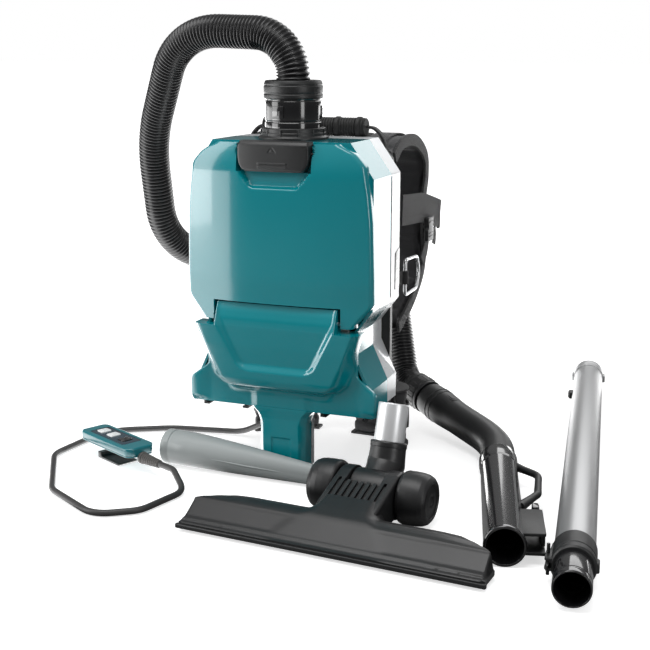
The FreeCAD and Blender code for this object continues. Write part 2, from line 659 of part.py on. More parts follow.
def build_nozzle():
    at = nozzle_place()
    half = S.nozzle_long / 2
    side = [(-38, 4), (-38, 8), (-26, 12), (-8, 28), (6, 30), (26, 20), (34, 4)]
    corners = [Vector(-half, y, z) for y, z in side]
    bar = Part.Face(Part.makePolygon(corners + corners[:1])).extrude(Vector(2 * half, 0, 0))
    slope = Part.makeBox(90, 120, 60, Vector(half - 62, 34, -5))
    slope.rotate(Vector(half - 62, 34, 0), Vector(0, 0, 1), -34)
    bar = bar.cut(slope).cut(flip_x(slope))
    mouth = Part.makeBox(2 * half - 30, 16, 10, Vector(15 - half, -22, 0))
    bar = bar.cut(mouth)
    y, z, r = S.barrel_back, S.barrel_z, S.barrel_r
    hood = Part.makeCylinder(r - 3, 66, Vector(-33, y, z), Vector(1, 0, 0))
    arm = [(10, 8), (10, 29), (y - 20, 46), (y, z + r - 3), (y, 8)]
    arm_face = [Vector(-33, u, v) for u, v in arm]
    link = Part.Face(Part.makePolygon(arm_face + arm_face[:1])).extrude(Vector(66, 0, 0))
    hood = hood.fuse(link)
    fork = Part.makeBox(38, 78, 80, Vector(-19, y - 24, -10))
    hood = hood.cut(fork)
    for step in range(8):
        slot = Part.makeBox(3, 26, 6, Vector(-29 + 8 * step, 26, 38))
        slot.rotate(Vector(0, 26, 38), Vector(1, 0, 0), 20)
        hood = hood.cut(slot)
    shaft = Part.makeCylinder(S.axle_r, 128, Vector(-64, y, z), Vector(1, 0, 0))
    node("nozzle_body", feature("nozzle_body", bar.fuse(hood).fuse(shaft).removeSplitter(), at))
    for name, x in (("nozzle_wheel_right", 34), ("nozzle_wheel_left", -66)):
        wheel = Part.makeCylinder(r, 32, Vector(x, y, z), Vector(1, 0, 0))
        wheel = wheel.makeFillet(8, [e for e in wheel.Edges if e.Length > 100
                                     and abs(e.BoundBox.XMax - e.BoundBox.XMin) < 1])
        bore = Part.makeCylinder(S.axle_r + S.running, 40, Vector(x - 4, y, z), Vector(1, 0, 0))
        node(name, feature(name, wheel.cut(bore), at))
    build_neck(at)
    brush = Part.makeBox(2 * half - 36, 8, 7, Vector(18 - half, 20, 0.5))
    brush = brush.cut(Part.makeBox(2 * half, 12, 3.6, Vector(-half, 18, 3.9)))
    node("nozzle_brush", feature("nozzle_brush", brush, at))


def build_neck(at):
    """The hub on the axle, its elbow, and the suction pipe standing in the elbow."""
    def heading(degrees):
        tilt = math.radians(degrees)
        return Vector(0, math.cos(tilt), math.sin(tilt))
    y, z, r = S.barrel_back, S.barrel_z, S.barrel_r
    pivot = Vector(0, y, z)
    arm, upright = heading(S.neck_tilt), heading(S.pipe_tilt)
    elbow = pivot + arm * S.elbow_reach
    low, high = S.stub_low, S.stub_high
    neck = Part.makeCylinder(r - 4.5, 36, Vector(-18, y, z), Vector(1, 0, 0))
    neck = neck.fuse(Part.makeCylinder(17.9, S.elbow_reach, pivot, arm))
    neck = neck.fuse(Part.makeSphere(S.elbow_r, elbow))
    neck = neck.fuse(Part.makeCylinder(17.9, low, elbow, upright))
    neck = neck.cut(Part.makeCylinder(S.axle_r + S.running, 40, Vector(-20, y, z),
                                      Vector(1, 0, 0)))
    seated = S.stub_r - 0.5
    neck = neck.cut(Part.makeCylinder(seated, high, elbow, upright))
    node("nozzle_neck", feature("nozzle_neck", neck.removeSplitter(), at))
    stub = Part.makeCylinder(S.stub_r, high - low, elbow + upright * low, upright)
    stub = stub.fuse(Part.makeCylinder(seated, low, elbow, upright))
    stub = stub.cut(Part.makeCylinder(S.stub_r - 1.2, high, elbow, upright))
    node("nozzle_stub", feature("nozzle_stub", stub, at))


# ---------------------------------------------------------------- wand and tool

def build_wand():
    at = Placement(Vector(S.wand_x, S.wand_y, S.wand_z), Rotation(Vector(0, 0, 1), S.wand_yaw))
    r, long, sleeve = S.wand_r, S.wand_long, S.spigot_long
    ahead = Vector(0, 1, 0)

    def tube(outer, inner, start, end):
        whole = Part.makeCylinder(outer, end - start, Vector(0, start, 0), ahead)
        return whole.cut(Part.makeCylinder(inner, end - start, Vector(0, start, 0), ahead))
    seated = S.spigot_r - 0.5
    spigot = tube(S.spigot_r, 15.8, 0, sleeve).fuse(tube(seated, 15.8, sleeve, sleeve + 40))
    node("wand_spigot", feature("wand_spigot", spigot, at))
    collar = tube(r + 1.5, seated, sleeve, sleeve + 40)
    ears = [Part.makeBox(5, 16, 3, Vector(-r - 6, sleeve + 4, z)) for z in (-6, 3)]
    collar = collar.fuse(ears[0]).fuse(ears[1])
    collar = collar.cut(Part.makeCylinder(seated, 60, Vector(0, sleeve - 5, 0), ahead))
    collar = collar.cut(Part.makeCylinder(1.55, 30, Vector(-r - 4, sleeve + 14, -15),
                                          Vector(0, 0, 1)))
    node("wand_collar", feature("wand_collar", collar.removeSplitter(), at))
    lever = Part.makeBox(2.4, 26, 5.6, Vector(-r - 5.2, sleeve - 8, -2.8))
    knuckle = Part.makeCylinder(1.5, 12, Vector(-r - 4, sleeve + 14, -6), Vector(0, 0, 1))
    lever = lever.fuse(knuckle)
    node("wand_lever", feature("wand_lever", lever.removeSplitter(), at))
    pipe_shape = tube(r, r - 1.2, sleeve + 40, long - 26)
    hole = Part.makeBox(10, 18, 10, Vector(-r - 5, long - 120, -5))
    end = tube(r + 1, S.socket_bore, long - 26, long)
    node("wand_tube", feature("wand_tube", pipe_shape.cut(hole).fuse(end), at))
    button = Part.makeBox(9, 17, 9, Vector(-r - 5.5, long - 119.5, -4.5))
    node("wand_button", feature("wand_button", button, at))


def build_crevice_tool():
    at = Placement(Vector(S.tool_x, S.tool_y, S.tool_z), Rotation(Vector(0, 0, 1), -4))
    r, long = S.tool_r, S.tool_long


    def flattened(stations):
        """Loft through ovals given as (distance along, half width, half height)."""
        rings = []
        for x, wide, tall in stations:
            ring = Part.Wire([Part.Circle(Vector(0, 0, 0), Vector(1, 0, 0), 1.0).toShape()])
            matrix = FreeCAD.Matrix()
            matrix.A22 = wide
            matrix.A33 = tall
            matrix.A14 = x
            matrix.A34 = -(stations[0][2] - tall) * 0.8
            rings.append(ring.transformGeometry(matrix))
        return Part.makeLoft(rings, True, True)
    blade = flattened(((34, r - 1, r - 1), (90, r - 4, r - 2.5), (long, 6.5, 11)))
    duct = flattened(((30, r - 5, r - 5), (90, r - 7, r - 5.5), (long + 1, 3.5, 8)))
    socket = Part.makeCylinder(r, 34, Vector(0, 0, 0), Vector(1, 0, 0))
    whole = socket.fuse(blade).cut(duct)
    whole = whole.cut(Part.makeCylinder(S.tool_bore, 32, Vector(0, 0, 0), Vector(1, 0, 0)))
    node("crevice_tool", feature("crevice_tool", whole.removeSplitter(), at))


# ---------------------------------------------------------------- controller

def build_controller():
    at = Placement(Vector(S.box_x, S.box_y, 0), Rotation(Vector(0, 0, 1), S.box_yaw))
    long, wide, low, high = S.box_long, S.box_wide, S.box_low, S.box_high
    case = Part.makeBox(long, wide, high - low, Vector(-long / 2, -wide / 2, low))
    case = case.makeFillet(6, [e for e in case.Edges if e.BoundBox.ZMax - e.BoundBox.ZMin > 5])
    case = case.makeChamfer(2, [e for e in case.Edges if e.BoundBox.ZMin > high - 0.1])
    panel_seat = Part.makeBox(70, 26, 2, Vector(-38, -13, high - 1.5))
    case = case.cut(panel_seat)
    panel = Part.makeBox(70, 26, 1.5, Vector(-38, -13, high - 1.5))
    names = ("button_on", "button_speed", "button_light")
    for name, x in zip(names, (-27, -7, 17)):
        well = Part.makeBox(12.4, 14.4, 12, Vector(x - 6.2, -7.2, high - 5))
        case = case.cut(well)
        panel = panel.cut(well)
        key = Part.makeBox(12, 14, 4.6, Vector(x - 6, -7, high - 3.4))
        node(name, feature(name, key, at))
    node("controller_case", feature("controller_case", case, at))
    node("controller_panel", feature("controller_panel", panel, at))
    clip = Part.makeBox(44, 26, 2.5, Vector(-22, -13, 0.6))
    spine = Part.makeBox(6, 26, low - 0.6, Vector(-22, -13, 0.6))
    node("belt_clip", feature("belt_clip", clip.fuse(spine).removeSplitter(), at))
    nose = Vector(long / 2, 0, 16)
    relief = Part.makeCone(6.5, 4.2, 26, nose, Vector(1, 0, 0))
    relief.Placement = at.multiply(relief.Placement)
    run = rounded_path(tuple(at.multVec(nose + Vector(2, 0, 0))),
                       [(-100, -85, 16, 20), (-72, -112, 4.2, 24), (-88, -178, 4.2, 26),
                        (-128, -206, 4.2, 30), (-208, -160, 4.2, 40), (-272, -60, 4.2, 40),
                        (-262, 40, 4.2, 60), (-190, 80, 4.2, 60), (-100, 92, 6, 40),
                        (-36, 74, 40, 14)], (-36, 74, S.skirt_low))
    node("power_cable", feature("power_cable", relief.fuse(pipe(run, S.cable_r))))


# ---------------------------------------------------------------- build and export

build_main_housing()
build_chamber_seal()
build_lower_housing()
build_rear_housing()
build_port()
build_cover()
build_latch()
build_inside()
build_motor()
build_battery_rails()
build_screws()
build_back()
build_belts()
build_straps()
build_ring()
build_carry_grip()
build_hose()
build_handle()
build_nozzle()
build_wand()
build_crevice_tool()
build_controller()
doc.recompute()

for thing in doc.Objects:
    if "Invalid" in thing.State or "Error" in thing.State:
        raise RuntimeError("%s did not recompute: %s" % (thing.Label, thing.State))
os.makedirs("parts", exist_ok=True)
for label, thing in NODES.items():
    if thing.Shape.isNull() or not thing.Shape.isValid():
        raise RuntimeError("%s has no valid shape" % label)
    thing.Shape.exportStep("parts/%s.step" % label)
print("%d sub-parts written" % len(NODES))
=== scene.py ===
"""Looks of the backpack vacuum cleaner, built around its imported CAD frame.

Lengths in the building functions are millimetres in the row frame (+X right,
-Y towards the front cover, +Z up); make() scales them to metres.
"""
import math

import bmesh
import bpy
from mathutils import Matrix, Vector


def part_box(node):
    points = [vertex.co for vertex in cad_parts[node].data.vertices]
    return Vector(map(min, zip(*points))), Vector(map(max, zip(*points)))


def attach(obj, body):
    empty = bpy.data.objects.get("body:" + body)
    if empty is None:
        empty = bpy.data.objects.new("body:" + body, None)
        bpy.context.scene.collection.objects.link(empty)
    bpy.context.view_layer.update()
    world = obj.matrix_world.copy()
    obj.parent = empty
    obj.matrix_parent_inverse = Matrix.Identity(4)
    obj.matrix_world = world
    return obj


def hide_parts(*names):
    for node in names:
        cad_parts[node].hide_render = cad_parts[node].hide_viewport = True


MM = 0.001
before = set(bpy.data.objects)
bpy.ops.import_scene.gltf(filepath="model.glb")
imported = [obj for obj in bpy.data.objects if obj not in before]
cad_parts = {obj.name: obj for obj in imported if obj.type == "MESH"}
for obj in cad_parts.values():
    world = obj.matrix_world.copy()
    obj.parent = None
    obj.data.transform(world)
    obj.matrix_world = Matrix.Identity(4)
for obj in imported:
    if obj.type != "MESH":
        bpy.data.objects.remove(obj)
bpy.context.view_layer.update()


# ------------------------------------------------------------ small helpers

def corners(node):
    """A CAD node's lowest and highest corners in millimetres."""
    low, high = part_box(node)
    return low / MM, high / MM


def smoothstep(edge0, edge1, value):
    t = max(0.0, min(1.0, (value - edge0) / (edge1 - edge0)))
    return t * t * (3 - 2 * t)


def rounded(points, step=2.0):
    """A closed 2-D outline from corners (u, v, radius), with arcs at the corners."""
    outline = []
    count = len(points)
    for i, (u, v, radius) in enumerate(points):
        here = Vector((u, v))
        before = Vector(points[i - 1][:2])
        after = Vector(points[(i + 1) % count][:2])
        arriving = (here - before).normalized()
        leaving = (after - here).normalized()
        turn = arriving.angle_signed(leaving)
        if radius <= 0 or abs(turn) < 1e-3:
            outline.append(here)
            continue
        reach = radius * math.tan(abs(turn) / 2)
        reach = min(reach, (here - before).length * 0.49, (after - here).length * 0.49)
        radius = reach / math.tan(abs(turn) / 2)
        start = here - arriving * reach
        side = Vector((arriving.y, -arriving.x)) * (1 if turn > 0 else -1)
        centre = start + side * radius
        pieces = max(2, int(abs(turn) * radius / step))
        for k in range(pieces + 1):
            angle = -turn * k / pieces
            spoke = start - centre
            turned = Vector((spoke.x * math.cos(angle) - spoke.y * math.sin(angle),
                             spoke.x * math.sin(angle) + spoke.y * math.cos(angle)))
            outline.append(centre + turned)
    return outline


def mirrored(half):
    """Corners (u, v, radius) of the right half, closed with their mirror image."""
    return list(half) + [(-u, v, r) for u, v, r in reversed(half)]


def shrink(outline, depth):
    """Move each point of a dense outline inwards along its normal."""
    count = len(outline)
    area = sum(outline[i - 1].x * outline[i].y - outline[i].x * outline[i - 1].y
               for i in range(count))
    side = 1.0 if area > 0 else -1.0
    moved = []
    for i in range(count):
        before = (outline[i] - outline[i - 1]).normalized()
        after = (outline[(i + 1) % count] - outline[i]).normalized()
        along = before + after
        along = along.normalized() if along.length > 1e-6 else before
        normal = Vector((-along.y, along.x)) * side
        stretch = 1 / max(0.35, math.sqrt(max(0.0, (1 + before.dot(after)) / 2)))
        moved.append(outline[i] + normal * depth * stretch)
    return moved


def make(name, verts, faces, material, body, sharp=30):
    """A mesh piece from millimetre vertices, riding on a body."""
    mesh = bpy.data.meshes.new(name)
    mesh.from_pydata([Vector(v) * MM for v in verts], [], faces)
    return finish_piece(name, mesh, material, body, sharp)


def finish_piece(name, mesh, material, body, sharp=30):
    work = bmesh.new()
    work.from_mesh(mesh)
    bmesh.ops.remove_doubles(work, verts=work.verts, dist=1e-6)
    bmesh.ops.recalc_face_normals(work, faces=work.faces)
    work.to_mesh(mesh)
    work.free()
    mesh.shade_smooth()
    mesh.set_sharp_from_angle(angle=math.radians(sharp))
    thing = bpy.data.objects.new(name, mesh)
    bpy.context.scene.collection.objects.link(thing)
    mesh.materials.append(material)
    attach(thing, body)
    return thing


def placed(spot, yaw):
    """A matrix that puts local millimetres at a spot, turned about Z."""
    return Matrix.Translation(Vector(spot)) @ Matrix.Rotation(math.radians(yaw), 4, "Z")


def moved(verts, matrix):
    return [matrix @ Vector(v) for v in verts]


def rings(sections, closed=False, cap=True):
    """Faces joining equal rings of vertices in order."""
    verts = [v for section in sections for v in section]
    size = len(sections[0])
    faces = []
    last = len(sections) if closed else len(sections) - 1
    for i in range(last):
        a = i * size
        b = ((i + 1) % len(sections)) * size
        for k in range(size):
            n = (k + 1) % size
            faces.append((a + k, a + n, b + n, b + k))
    if cap and not closed:
        faces.append(tuple(reversed(range(size))))
        faces.append(tuple(range(len(verts) - size, len(verts))))
    return verts, faces


def lathe(profile, sides=64, closed=True):
    """Revolve (radius, height) about Z; a closed profile gives a ring-shaped solid."""
    sections = []
    for i in range(sides):
        angle = 2 * math.pi * i / sides
        sections.append([(r * math.cos(angle), r * math.sin(angle), h) for r, h in profile])
    verts, faces = [], []
    size = len(profile)
    for section in sections:
        verts.extend(section)
    for i in range(sides):
        a = i * size
        b = ((i + 1) % sides) * size
        for k in range(size if closed else size - 1):
            n = (k + 1) % size
            faces.append((a + k, b + k, b + n, a + n))
    return verts, faces


def soft_corner(profile, radius=0.8, steps=3):
    """Round every corner of a closed (radius, height) profile."""
    return [tuple(p) for p in rounded([(u, v, radius) for u, v in profile], radius / steps)]


def turned_piece(name, profile, matrix, material, body, sides=72, sharp=35):
    verts, faces = lathe(profile, sides)
    return make(name, moved(verts, matrix), faces, material, body, sharp)


class Path:
    """A centreline of straight runs and arcs, sampled by distance."""

    def __init__(self, start, bends, end, step=1.0):
        spots = [Vector(start)]
        here = Vector(start)
        targets = [Vector(b[:3]) for b in bends] + [Vector(end)]
        for i, bend in enumerate(bends):
            spot = targets[i]
            arriving = (spot - here).normalized()
            leaving = (targets[i + 1] - spot).normalized()
            half = arriving.angle(leaving) / 2
            reach = bend[3] * math.tan(half)
            first = spot - arriving * reach
            inward = (leaving - arriving).normalized()
            centre = spot + inward * bend[3] / math.cos(half)
            spoke = first - centre
            pieces = max(3, int(2 * half * bend[3] / 4.0))
            for k in range(pieces + 1):
                angle = 2 * half * k / pieces
                spots.append(centre + spoke * math.cos(angle)
                             + arriving * bend[3] * math.sin(angle))
            here = spots[-1]
        spots.append(Vector(end))
        self.spots = [spots[0]]
        for spot in spots[1:]:
            if (spot - self.spots[-1]).length > 1e-4:
                self.spots.append(spot)
        self.marks = [0.0]
        for a, b in zip(self.spots, self.spots[1:]):
            self.marks.append(self.marks[-1] + (b - a).length)
        self.length = self.marks[-1]

    def at(self, distance):
        distance = max(0.0, min(self.length, distance))
        low, high = 0, len(self.marks) - 1
        while high - low > 1:
            mid = (low + high) // 2
            if self.marks[mid] <= distance:
                low = mid
            else:
                high = mid
        share = (distance - self.marks[low]) / (self.marks[high] - self.marks[low])
        return self.spots[low].lerp(self.spots[high], share)

    def heading(self, distance, reach=1.5):
        return (self.at(distance + reach) - self.at(distance - reach)).normalized()


def frames_along(path, distances, first_side=(0, 1, 0)):
    """Twist-free frames: (centre, side, other side) at each distance."""
    side = Vector(first_side)
    result = []
    for distance in distances:
        ahead = path.heading(distance)
        side = (side - ahead * side.dot(ahead)).normalized()
        result.append((path.at(distance), side.copy(), ahead.cross(side)))
    return result


def tube(path, stations, sides=40, bore=None):
    """A swept round tube from (distance, radius) stations; bore makes it hollow."""
    frames = frames_along(path, [s for s, _ in stations])
    sections = []
    for (centre, side, other), (_, radius) in zip(frames, stations):
        sections.append([centre + (side * math.cos(a) + other * math.sin(a)) * radius
                         for a in (2 * math.pi * k / sides for k in range(sides))])
    if bore is None:
        return rings(sections)
    inside = []
    for centre, side, other in frames[::-1]:
        inside.append([centre + (side * math.cos(a) + other * math.sin(a)) * bore
                       for a in (2 * math.pi * k / sides for k in range(sides))])
    return rings(sections + inside, closed=True)


# ------------------------------------------------------------ materials

def material(name, colour, rough, metal=0.0, coat=0.0, bump=0.05, scale=900.0, vary=0.06,
             edge_wear_and_highlight=0.0, edge_wear_and_highlight_colour=None, stretch=None, pattern="noise", sheen=0.0):
    """A procedural finish: varied colour, edges lightened partly as wear and partly as a painted highlight, and
    fine bump of a chosen pattern.
    """
    made = bpy.data.materials.new(name)
    made.use_nodes = True
    nodes, links = made.node_tree.nodes, made.node_tree.links
    shader = nodes["Principled BSDF"]
    shader.inputs["Metallic"].default_value = metal
    shader.inputs["Coat Weight"].default_value = coat
    shader.inputs["Coat Roughness"].default_value = 0.06
    shader.inputs["Sheen Weight"].default_value = sheen
    place = nodes.new("ShaderNodeTexCoord")
    mapping = nodes.new("ShaderNodeMapping")
    mapping.inputs["Scale"].default_value = stretch or (1, 1, 1)
    links.new(place.outputs["Object"], mapping.inputs["Vector"])

    broad = nodes.new("ShaderNodeTexNoise")
    broad.inputs["Scale"].default_value = 14.0
    broad.inputs["Detail"].default_value = 4.0
    links.new(mapping.outputs["Vector"], broad.inputs["Vector"])
    tone = nodes.new("ShaderNodeMixRGB")
    tone.inputs["Color1"].default_value = [c * (1 - vary) for c in colour] + [1]
    tone.inputs["Color2"].default_value = [min(1, c * (1 + vary)) for c in colour] + [1]
    links.new(broad.outputs["Fac"], tone.inputs["Fac"])
    last = tone.outputs["Color"]
    # Pointiness lightens sharp edges: partly real wear, partly a painted edge highlight.
    if edge_wear_and_highlight:
        edge = nodes.new("ShaderNodeNewGeometry")
        ramp = nodes.new("ShaderNodeValToRGB")
        ramp.color_ramp.elements[0].position = 0.53
        ramp.color_ramp.elements[1].position = 0.62
        links.new(edge.outputs["Pointiness"], ramp.inputs["Fac"])
        amount = nodes.new("ShaderNodeMath")
        amount.operation = "MULTIPLY"
        amount.inputs[1].default_value = edge_wear_and_highlight
        links.new(ramp.outputs["Color"], amount.inputs[0])
        worn_and_highlit = nodes.new("ShaderNodeMixRGB")
        worn_and_highlit.inputs["Color2"].default_value = list(edge_wear_and_highlight_colour or [min(1, c * 1.6 + 0.03)
                                                                  for c in colour]) + [1]
        links.new(amount.outputs["Value"], worn_and_highlit.inputs["Fac"])
        links.new(last, worn_and_highlit.inputs["Color1"])
        last = worn_and_highlit.outputs["Color"]
    links.new(last, shader.inputs["Base Color"])

    if pattern == "weave":
        height = weave(nodes, links, mapping.outputs["Vector"], scale)
    elif pattern == "mesh":
        cells = nodes.new("ShaderNodeTexVoronoi")
        cells.feature = "DISTANCE_TO_EDGE"
        cells.inputs["Scale"].default_value = scale
        links.new(mapping.outputs["Vector"], cells.inputs["Vector"])
        height = cells.outputs["Distance"]
    else:
        fine = nodes.new("ShaderNodeTexNoise")
        fine.inputs["Scale"].default_value = scale
        fine.inputs["Detail"].default_value = 3.0
        links.new(mapping.outputs["Vector"], fine.inputs["Vector"])
        height = fine.outputs["Fac"]
    spread = nodes.new("ShaderNodeMapRange")
    spread.inputs["To Min"].default_value = max(0.02, rough * 0.82)
    spread.inputs["To Max"].default_value = min(1.0, rough * 1.2)
    links.new(broad.outputs["Fac"], spread.inputs["Value"])
    links.new(spread.outputs["Result"], shader.inputs["Roughness"])
    relief = nodes.new("ShaderNodeBump")
    relief.inputs["Strength"].default_value = bump
    relief.inputs["Distance"].default_value = 0.0004
    links.new(height, relief.inputs["Height"])
    links.new(relief.outputs["Normal"], shader.inputs["Normal"])
    return made


def weave(nodes, links, vector, scale):
    """Crossed threads: two wave bands, the higher of the two taken at each point."""
    total = nodes.new("ShaderNodeMath")
    total.operation = "MAXIMUM"
    for slot, axis in enumerate(("DIAGONAL", "Z")):
        wave = nodes.new("ShaderNodeTexWave")
        wave.bands_direction = axis
        wave.inputs["Scale"].default_value = scale
        wave.inputs["Distortion"].default_value = 0.4
        links.new(vector, wave.inputs["Vector"])
        links.new(wave.outputs["Fac"], total.inputs[slot])
    return total.outputs["Value"]


TEAL = (0.0, 0.235, 0.275)
FINISHES = {
    "teal": material("teal_gloss", TEAL, 0.17, coat=0.8, bump=0.02, scale=260, vary=0.03,
                     edge_wear_and_highlight=0.18),
    "teal_deep": material("teal_satin", (0.0, 0.15, 0.18), 0.30, coat=0.4, bump=0.03, scale=500,
                          vary=0.04, edge_wear_and_highlight=0.2),
    "white": material("white_shell", (0.74, 0.76, 0.78), 0.28, coat=0.35, bump=0.03, scale=500,
                      vary=0.02),
    "black": material("black_textured", (0.010, 0.0105, 0.011), 0.42, bump=0.16, scale=1500,
                      vary=0.15, edge_wear_and_highlight=0.25, edge_wear_and_highlight_colour=(0.07, 0.07, 0.07)),
    "black_gloss": material("black_gloss", (0.009, 0.009, 0.010), 0.14, coat=0.6, bump=0.02,
                            scale=300, vary=0.1, edge_wear_and_highlight=0.15),
    "charcoal": material("charcoal_moulded", (0.010, 0.0102, 0.0108), 0.38, bump=0.08, scale=1600,
                         vary=0.08, edge_wear_and_highlight=0.12, edge_wear_and_highlight_colour=(0.05, 0.05, 0.05)),
    "hose": material("hose_plastic", (0.010, 0.010, 0.011), 0.30, bump=0.05, scale=900, vary=0.1),
    "webbing": material("webbing", (0.012, 0.012, 0.013), 0.75, bump=0.8, scale=420, vary=0.2,
                        pattern="weave", sheen=0.25),
    "pad": material("pad_mesh", (0.016, 0.016, 0.018), 0.85, bump=0.9, scale=420, vary=0.2,
                    pattern="mesh", sheen=0.3),
    "rubber": material("rubber", (0.014, 0.014, 0.014), 0.62, bump=0.2, scale=1100, vary=0.15),
    "grey": material("grey_moulded", (0.30, 0.325, 0.325), 0.42, bump=0.08, scale=1300,
                     vary=0.04, edge_wear_and_highlight=0.15),
    "silver": material("anodised", (0.66, 0.67, 0.68), 0.26, metal=1.0, bump=0.05, scale=700,
                       vary=0.03, stretch=(1, 0.05, 1)),
    "brushed": material("brushed_pipe", (0.50, 0.505, 0.51), 0.42, metal=0.85, bump=0.06,
                        scale=700, vary=0.04, stretch=(1, 0.05, 1)),
    "bright": material("bright_pipe", (0.80, 0.81, 0.82), 0.38, metal=0.6, bump=0.05, scale=700,
                       vary=0.03, stretch=(1, 0.05, 1)),
    "steel": material("turned_steel", (0.55, 0.55, 0.56), 0.3, metal=1.0, bump=0.1, scale=900),
    "paper": material("filter_fleece", (0.66, 0.62, 0.54), 0.9, bump=0.7, scale=700, vary=0.08),
    "filter": material("pleated_paper", (0.80, 0.80, 0.77), 0.8, bump=0.3, scale=700),
    "foam": material("open_foam", (0.07, 0.07, 0.075), 0.9, bump=1.0, scale=500, pattern="mesh"),
    "board": material("circuit_board", (0.01, 0.13, 0.05), 0.35, coat=0.4, bump=0.2, scale=600),
    "copper": material("windings", (0.60, 0.30, 0.14), 0.35, metal=1.0, bump=0.8, scale=500,
                       stretch=(0.2, 0.2, 3)),
    "key": material("key_white", (0.78, 0.79, 0.79), 0.3, coat=0.3, bump=0.03, scale=800),
    # Near-black: the shell's dark joint line, and painted shade on the floors of the nozzle slots.
    "joint_and_shade_black": material("grille_black", (0.006, 0.006, 0.006), 0.6, bump=0.2, scale=1200),
    "label": material("label_film", (0.012, 0.012, 0.013), 0.22, coat=0.5, bump=0.02, scale=300),
    "cable": material("cable_jacket", (0.035, 0.034, 0.034), 0.45, bump=0.1, scale=1200),
    "strain": material("strain_relief", (0.10, 0.095, 0.09), 0.5, bump=0.1, scale=1200),
    "panel_blue": material("panel_film", (0.010, 0.035, 0.055), 0.25, coat=0.4, bump=0.02,
                           scale=400),
}
NODE_FINISH = {
    "teal": ["main_housing", "lower_housing", "front_cover"],
    "teal_deep": ["controller_case"],
    "white": ["rear_housing", "leg_back"],
    "black": ["hose_port", "hose_cuff", "cuff_ring", "latch", "back_plate", "battery_rails",
              "motor_case", "motor_cap", "chest_buckles", "handle_grip", "handle_collar",
              "handle_lock", "wand_collar", "wand_lever", "wand_button", "belt_clip"],
    "black_gloss": ["handle_socket", "handle_button", "wand_spigot", "button_light"],
    "charcoal": ["nozzle_body", "nozzle_wheel_left", "nozzle_wheel_right", "nozzle_neck"],
    "hose": ["hose"],
    "cable": ["power_cable"],
    "webbing": ["chest_straps", "carry_strap", "ring_tab", "nozzle_brush"],
    "pad": ["back_pad", "hip_pad", "hip_belts", "shoulder_straps"],
    "rubber": ["foot_pad", "chamber_seal", "carry_grip", "motor_mounts"],
    "grey": ["crevice_tool"],
    "silver": ["nozzle_stub", "wand_tube", "d_ring"],
    "steel": ["hinge_pins", "motor_bearing", "motor_rotor", "housing_screws"],
    "paper": ["dust_bag"],
    "filter": ["hepa_filter"],
    "foam": ["exhaust_foam"],
    "board": ["control_board"],
    "copper": ["motor_stator"],
    "key": ["button_on", "button_speed"],
    "panel_blue": ["controller_panel"],
}


def dress_cad_nodes():
    """Give each CAD node its finish, and break its sharp edges."""
    for finish, names in NODE_FINISH.items():
        for name in names:
            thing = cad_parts[name]
            thing.data.materials.clear()
            thing.data.materials.append(FINISHES[finish])
            weld = thing.modifiers.new("weld", "WELD")
            weld.merge_threshold = 2e-6
            soften = thing.modifiers.new("soften", "BEVEL")
            soften.width = 0.0006
            soften.segments = 2
            soften.limit_method = "ANGLE"
            soften.angle_limit = math.radians(32)
            soften.harden_normals = True


dress_cad_nodes()


# ------------------------------------------------------------ floor, light, camera

def seen_and_felt(tree, seen, felt, output):
    """Show one shader to the camera and use another for the light that bounces."""
    path = tree.nodes.new("ShaderNodeLightPath")
    mix = tree.nodes.new("ShaderNodeMixShader")
    tree.links.new(path.outputs["Is Camera Ray"], mix.inputs["Fac"])
    tree.links.new(felt, mix.inputs[1])
    tree.links.new(seen, mix.inputs[2])
    tree.links.new(mix.outputs["Shader"], output.inputs["Surface"])


def build_sweep(tree, spot):
    """The lit left part of the floor, which only shiny surfaces mirror."""
    left = tree.nodes.new("ShaderNodeVectorMath")
    left.operation = "DOT_PRODUCT"
    left.inputs[1].default_value = (-math.cos(SWEEP_TURN), math.sin(SWEEP_TURN), 0)
    tree.links.new(spot.outputs["Position"], left.inputs[0])
    edge = tree.nodes.new("ShaderNodeMapRange")
    edge.inputs["From Min"].default_value = 0.02
    edge.inputs["From Max"].default_value = 0.06
    edge.inputs["To Max"].default_value = SWEEP_GLOW
    tree.links.new(left.outputs["Value"], edge.inputs["Value"])
    path = tree.nodes.new("ShaderNodeLightPath")
    mirrored_only = tree.nodes.new("ShaderNodeMath")
    mirrored_only.operation = "MULTIPLY"
    tree.links.new(edge.outputs["Result"], mirrored_only.inputs[0])
    tree.links.new(path.outputs["Is Glossy Ray"], mirrored_only.inputs[1])
    sweep = tree.nodes.new("ShaderNodeEmission")
    tree.links.new(mirrored_only.outputs["Value"], sweep.inputs["Strength"])
    return sweep.outputs["Emission"]


